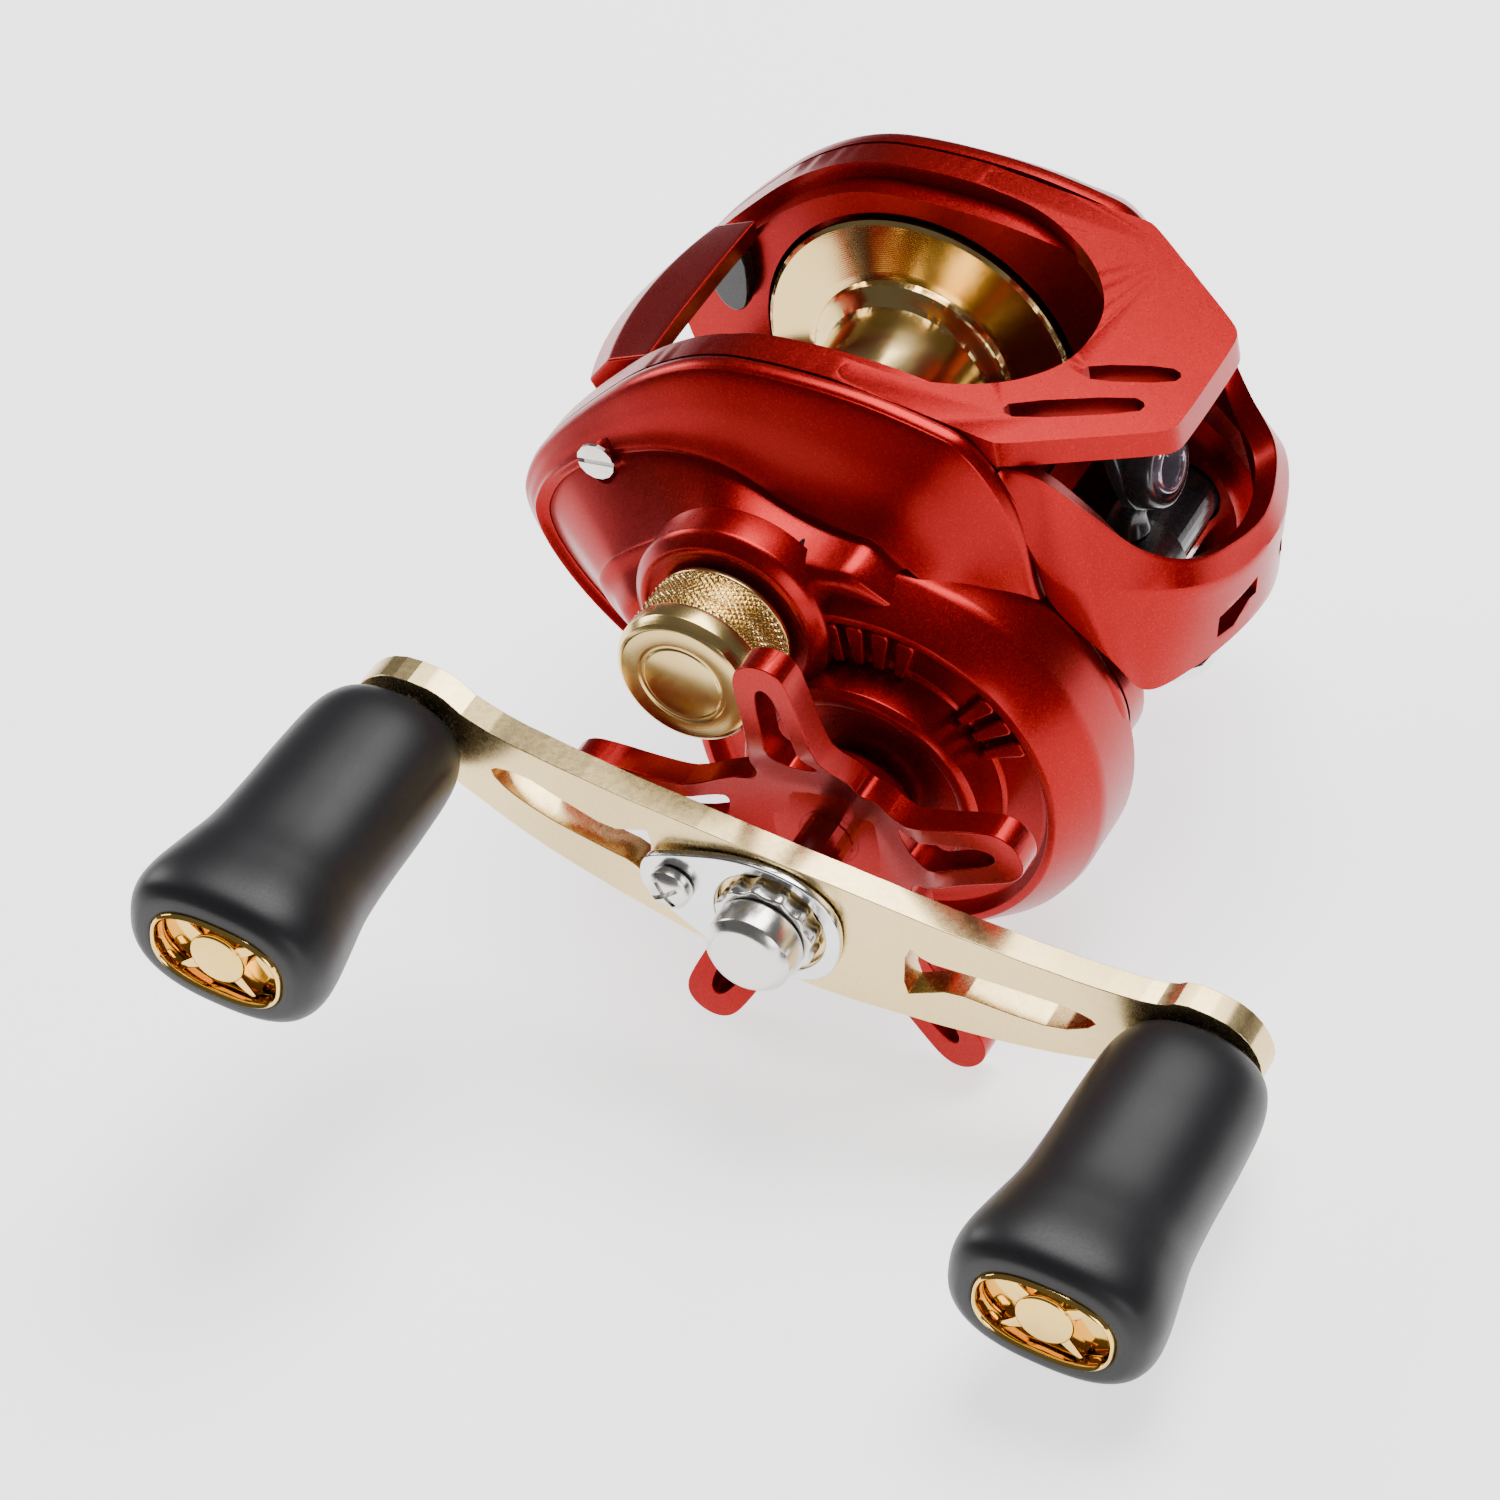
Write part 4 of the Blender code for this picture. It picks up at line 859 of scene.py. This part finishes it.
def slices(piece, centres, directions, far, step):
    """Cut a piece across at even steps, so that it can be bent smoothly."""
    deselect()
    piece.select_set(True)
    bpy.context.view_layer.objects.active = piece
    bpy.ops.object.mode_set(mode="EDIT")
    for centre in centres:
        for direction in directions:
            for k in range(-int(far / step), int(far / step) + 1):
                place = Vector(centre) + Vector(direction) * (k * step + step * 0.37)
                bpy.ops.mesh.select_all(action="SELECT")
                bpy.ops.mesh.bisect(plane_co=place, plane_no=direction)
    bpy.ops.object.mode_set(mode="OBJECT")


def dish(piece):
    """Bend a flat wheel so its arms lean out towards the handle."""
    rise = [(5.5, 34.8), (10.0, 36.9), (12.3, 38.7), (13.6, 39.35), (21.5, 40.3), (24.6, 40.5)]
    for vertex in piece.data.vertices:
        r = math.hypot(vertex.co.y - DRIVE[0], vertex.co.z - DRIVE[1])
        vertex.co.x += read_along(rise, max(r, 5.5))


def read_along(pairs, key):
    """A value read between pairs of (key, value)."""
    for (k0, v0), (k1, v1) in zip(pairs, pairs[1:]):
        if key <= k1:
            return v0 + (v1 - v0) * (key - k0) / (k1 - k0)
    return pairs[-1][1]


def along_handle(distance, side=0.0):
    c, s = math.cos(HANDLE_ANGLE), math.sin(HANDLE_ANGLE)
    return (DRIVE[0] + distance * c - side * s, DRIVE[1] + distance * s + side * c)


# the arm's outer face: distance from the shaft, and X
ARM_FACE = [(0, 49.0), (4, 48.95), (8, 48.8), (16, 48.2), (23, 47.4), (28, 46.6), (33, 45.5), (36, 44.7),
            (37.5, 44.4), (47, 44.4)]


def two_golds(piece):
    piece.data.materials.append(ARM_GOLD)
    piece.data.materials.append(WINDOW_GOLD)
    return piece


def make_handle():
    half = [(0, 6.9), (7, 6.8), (13, 6.3), (23, 5.5), (33, 4.3), (35.6, 4.3), (36.6, 5.0), (41, 5.0),
            (43.4, 4.0), (45.0, 2.0), (45.6, 0), (45.0, -2.0), (43.4, -4.0), (41, -5.0), (37, -5.0),
            (33, -4.3), (23, -5.5), (13, -6.3), (7, -6.8)]
    outline = [along_handle(d, s) for d, s in half] + [along_handle(-d, -s) for d, s in half]
    arm = two_golds(plate("crank_arm", rounded(outline, 1), -ARM_THICKNESS, 0.0))
    for sign in (1, -1):
        window = [along_handle(sign * d, sign * s) for d, s in
                  ((12.5, 2.6), (12.9, -3.6), (14.6, -2.6), (17.2, -1.2), (22, -1.6), (27, -1.9),
                   (30.5, -0.3), (29.5, 0.7), (26.5, 1.4), (22, 1.6), (17, 1.5), (14.5, 1.4))]
        tool = two_golds(plate("tool", rounded(window, 1), -10, 10))
        for face in tool.data.polygons:
            face.material_index = 1
        carve(arm, tool)
    for centre in KNOBS.values():
        carve(arm, tube_tool(-10, 10, 1.7, centre))
    carve(arm, tube_tool(-10, 10, 2.35, DRIVE))
    soften(arm, 0.45, 4, 38)
    along = (0, math.cos(HANDLE_ANGLE), math.sin(HANDLE_ANGLE))
    slices(arm, [(0, *DRIVE)], [along], 46, 1.5)
    for vertex in arm.data.vertices:
        distance = (vertex.co.y - DRIVE[0]) * along[1] + (vertex.co.z - DRIVE[1]) * along[2]
        vertex.co.x += read_along(ARM_FACE, abs(distance))
    settle(arm, "drive", [ARM_GOLD, WINDOW_GOLD], "handle_arm")
    make_handle_fixings()


def make_handle_fixings():
    low, high = reach_x("handle_retainer")
    outline = [along_handle(d, s) for d, s in
               ((-13.0, -1.8), (-13.0, 1.8), (-10.2, 3.4), (-4, 6.2), (2, 6.5), (6.2, 4.2), (7.2, 0),
                (6.2, -4.2), (2, -6.5), (-4, -6.2), (-10.2, -3.4))]
    keeper = plate("nut_keeper", rounded(outline, 3), low, high)
    carve(keeper, tube_tool(low - 5, high + 5, 5.5, DRIVE, 96),
          tube_tool(low - 5, high + 5, 1.15, RETAINER_SCREW))
    settle(soften(keeper, 0.2, 3), "drive", BRIGHT_STEEL, "handle_retainer")
    low, high = reach_x("retainer_screw")
    profile = [(low, 0), (low, 0.8), (high - 1.6, 0.8), (high - 1.6, 2.1), (high - 0.7, 2.1),
               (high - 0.2, 1.5), (high, 0.6), (high, 0)]
    head = turned("keeper_screw", profile, RETAINER_SCREW, 64)
    for turn in (0.5, 0.5 + math.pi / 2):
        cross = []
        for a, r in ((-0.17, 1.5), (0.17, 1.5), (math.pi - 0.17, 1.5), (math.pi + 0.17, 1.5)):
            cross.append(polar(r, turn + a, RETAINER_SCREW))
        carve(head, plate("tool", cross, high - 0.9, high + 2))
    settle(soften(head, 0.1, 2), "drive", NICKEL, "retainer_screw")
    low, high = reach_x("handle_nut")
    nut, points = [], 12
    for k in range(points):
        nut += [polar(5.15, math.tau * k / points, DRIVE), polar(4.55, math.tau * (k + 0.5) / points, DRIVE)]
    body = carve(plate("crank_nut", rounded(nut, 1), low, high), tube_tool(low - 5, high + 5, 2.38, DRIVE))
    settle(soften(body, 0.25, 3), "drive", NICKEL, "handle_nut")
    low, high = reach_x("nut_cap")
    cap = [(low, 0), (low, 4.2), (low + 0.2, 4.3), (high - 0.8, 4.15), (high - 0.15, 3.5), (high, 3.2),
           (high, 0)]
    settle(soften(turned("shaft_cap", cap, DRIVE, 128), 0.15, 3, 25), "drive", NICKEL, "nut_cap")


def knob_ring(centre, x, wide, tall, power, u):
    """A point on a grip's rounded-rectangle section."""
    c, s = math.cos(math.tau * u), math.sin(math.tau * u)
    along = wide * math.copysign(abs(c) ** power, c)
    side = tall * math.copysign(abs(s) ** power, s)
    return (x, *polar(side, HANDLE_ANGLE + math.pi / 2, polar(along, HANDLE_ANGLE, centre)))


# up a grip: X, half length, half width and how square the section is
KNOB_SECTION = [(45.0, 3.2, 2.2, 1.0), (45.1, 4.6, 3.3, 0.98), (45.6, 6.0, 4.4, 0.95), (46.8, 7.0, 5.2, 0.92),
                (49.5, 7.7, 5.8, 0.9), (55.0, 8.0, 6.0, 0.88), (61.0, 8.1, 6.1, 0.86), (66.0, 8.4, 6.3, 0.84),
                (70.0, 9.1, 6.8, 0.82), (73.5, 9.7, 7.2, 0.8), (75.8, 9.8, 7.2, 0.8), (77.4, 9.3, 6.8, 0.8),
                (78.3, 8.3, 5.9, 0.8), (78.5, 7.2, 4.9, 0.8)]


def make_knob(name):
    centre = KNOBS[name]

    def grip(u, v):
        x, wide, tall, power = bent(KNOB_SECTION, v)
        return knob_ring(centre, x, wide, tall, power, u)
    body = skin(f"{name}_grip", 96, 110, grip)
    pocket = plate("tool", [knob_ring(centre, 0, 6.6, 4.3, 0.8, i / 64)[1:] for i in range(64)], 76.6, 90)
    carve(body, pocket, tube_tool(40, 74.4, 1.75, centre))
    settle(soften(body, 0.35, 4, 40), name, RUBBER, name, smooth=40)

    def rim(u, v):
        across = math.tau * v
        spread = 0.32 * math.cos(across)
        x = 77.9 + 1.0 * math.sin(across)
        return knob_ring(centre, x, 6.35 + spread, 4.15 + spread, 0.78, u)
    settle(skin(f"{name}_rim", 96, 16, rim, closed=False), name, CAP_GOLD)
    tray = [knob_ring(centre, 0, 6.3, 4.1, 0.8, i / 64)[1:] for i in range(64)]
    settle(plate(f"{name}_tray", tray, 76.0, 76.9), name, CAP_GOLD)
    button = [(76.4, 0), (76.4, 2.2), (77.6, 2.5), (78.1, 2.75), (78.4, 2.7), (78.5, 2.4), (78.5, 0)]
    settle(soften(turned(f"{name}_button", button, centre, 64), 0.15, 3, 25), name, CAP_GOLD, f"{name}_cap")
    for k in range(4):
        angle = HANDLE_ANGLE + math.radians((40, 140, 220, 320)[k])
        c, s = math.cos(angle), math.sin(angle)
        spoke = []
        for r, w in ((2.2, -0.7), (4.9, -0.35), (4.9, 0.35), (2.2, 0.7)):
            spoke.append((centre[0] + r * c - w * s, centre[1] + r * s + w * c))
        settle(soften(plate(f"{name}_spoke_{k + 1}", spoke, 76.5, 78.2), 0.2, 2), name, CAP_GOLD)


# ---------------------------------------------------------------- floor, light and camera

def make_stage():
    low = min(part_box(node)[0][2] for node in frame["nodes"])
    deselect()
    bpy.ops.mesh.primitive_plane_add(size=6, location=(0, 0, low - 0.0005))
    floor = begin("floor")
    floor.data.materials.append(FLOOR)
    world = bpy.data.worlds.new("studio")
    world.use_nodes = True
    world.node_tree.nodes["Background"].inputs[0].default_value = (1.0, 0.99, 0.985, 1)
    world.node_tree.nodes["Background"].inputs[1].default_value = 0.14
    bpy.context.scene.world = world
    softbox("top_softbox", (-0.25, 0.1, 0.7), (0, 0, 0), 0.5, 9)
    softbox("rear_softbox", (-0.1, -0.75, 0.4), (0, 0, 0), 0.35, 3.5)
    softbox("front_softbox", (0.55, 0.55, 0.2), (0, 0, 0), 0.3, 1.6)


def softbox(name, where, at, size, power):
    light = bpy.data.lights.new(name, "AREA")
    light.size = size
    light.energy = power
    lamp = bpy.data.objects.new(name, light)
    bpy.context.collection.objects.link(lamp)
    lamp.location = where
    lamp.rotation_euler = (Vector(at) - Vector(where)).to_track_quat("-Z", "Y").to_euler()


def make_camera():
    right = Vector((-0.44872, 0.87879, -0.16242))
    down = Vector((0.62273, 0.17711, -0.76213))
    ahead = Vector((-0.64098, -0.44313, -0.62672))
    camera = bpy.data.objects.new("camera", bpy.data.cameras.new("camera"))
    bpy.context.collection.objects.link(camera)
    turn = Matrix((right, -down, -ahead)).transposed()
    place = Vector((366.859, 232.458, 314.258)) * MM + SPOOL
    camera.matrix_world = Matrix.Translation(place) @ turn.to_4x4()
    camera.data.lens = 137.35
    camera.data.sensor_width = 36
    camera.data.clip_start = 0.01
    bpy.context.scene.camera = camera


def main():
    paint_cad_nodes()
    make_handle_cover()
    make_palm_cover()
    make_frame()
    make_cowl()
    make_thumb_bar()
    make_foot()
    make_spool()
    make_line_guide()
    make_cast_control()
    make_star()
    make_handle()
    for name in KNOBS:
        make_knob(name)
    make_stage()
    make_camera()


main()
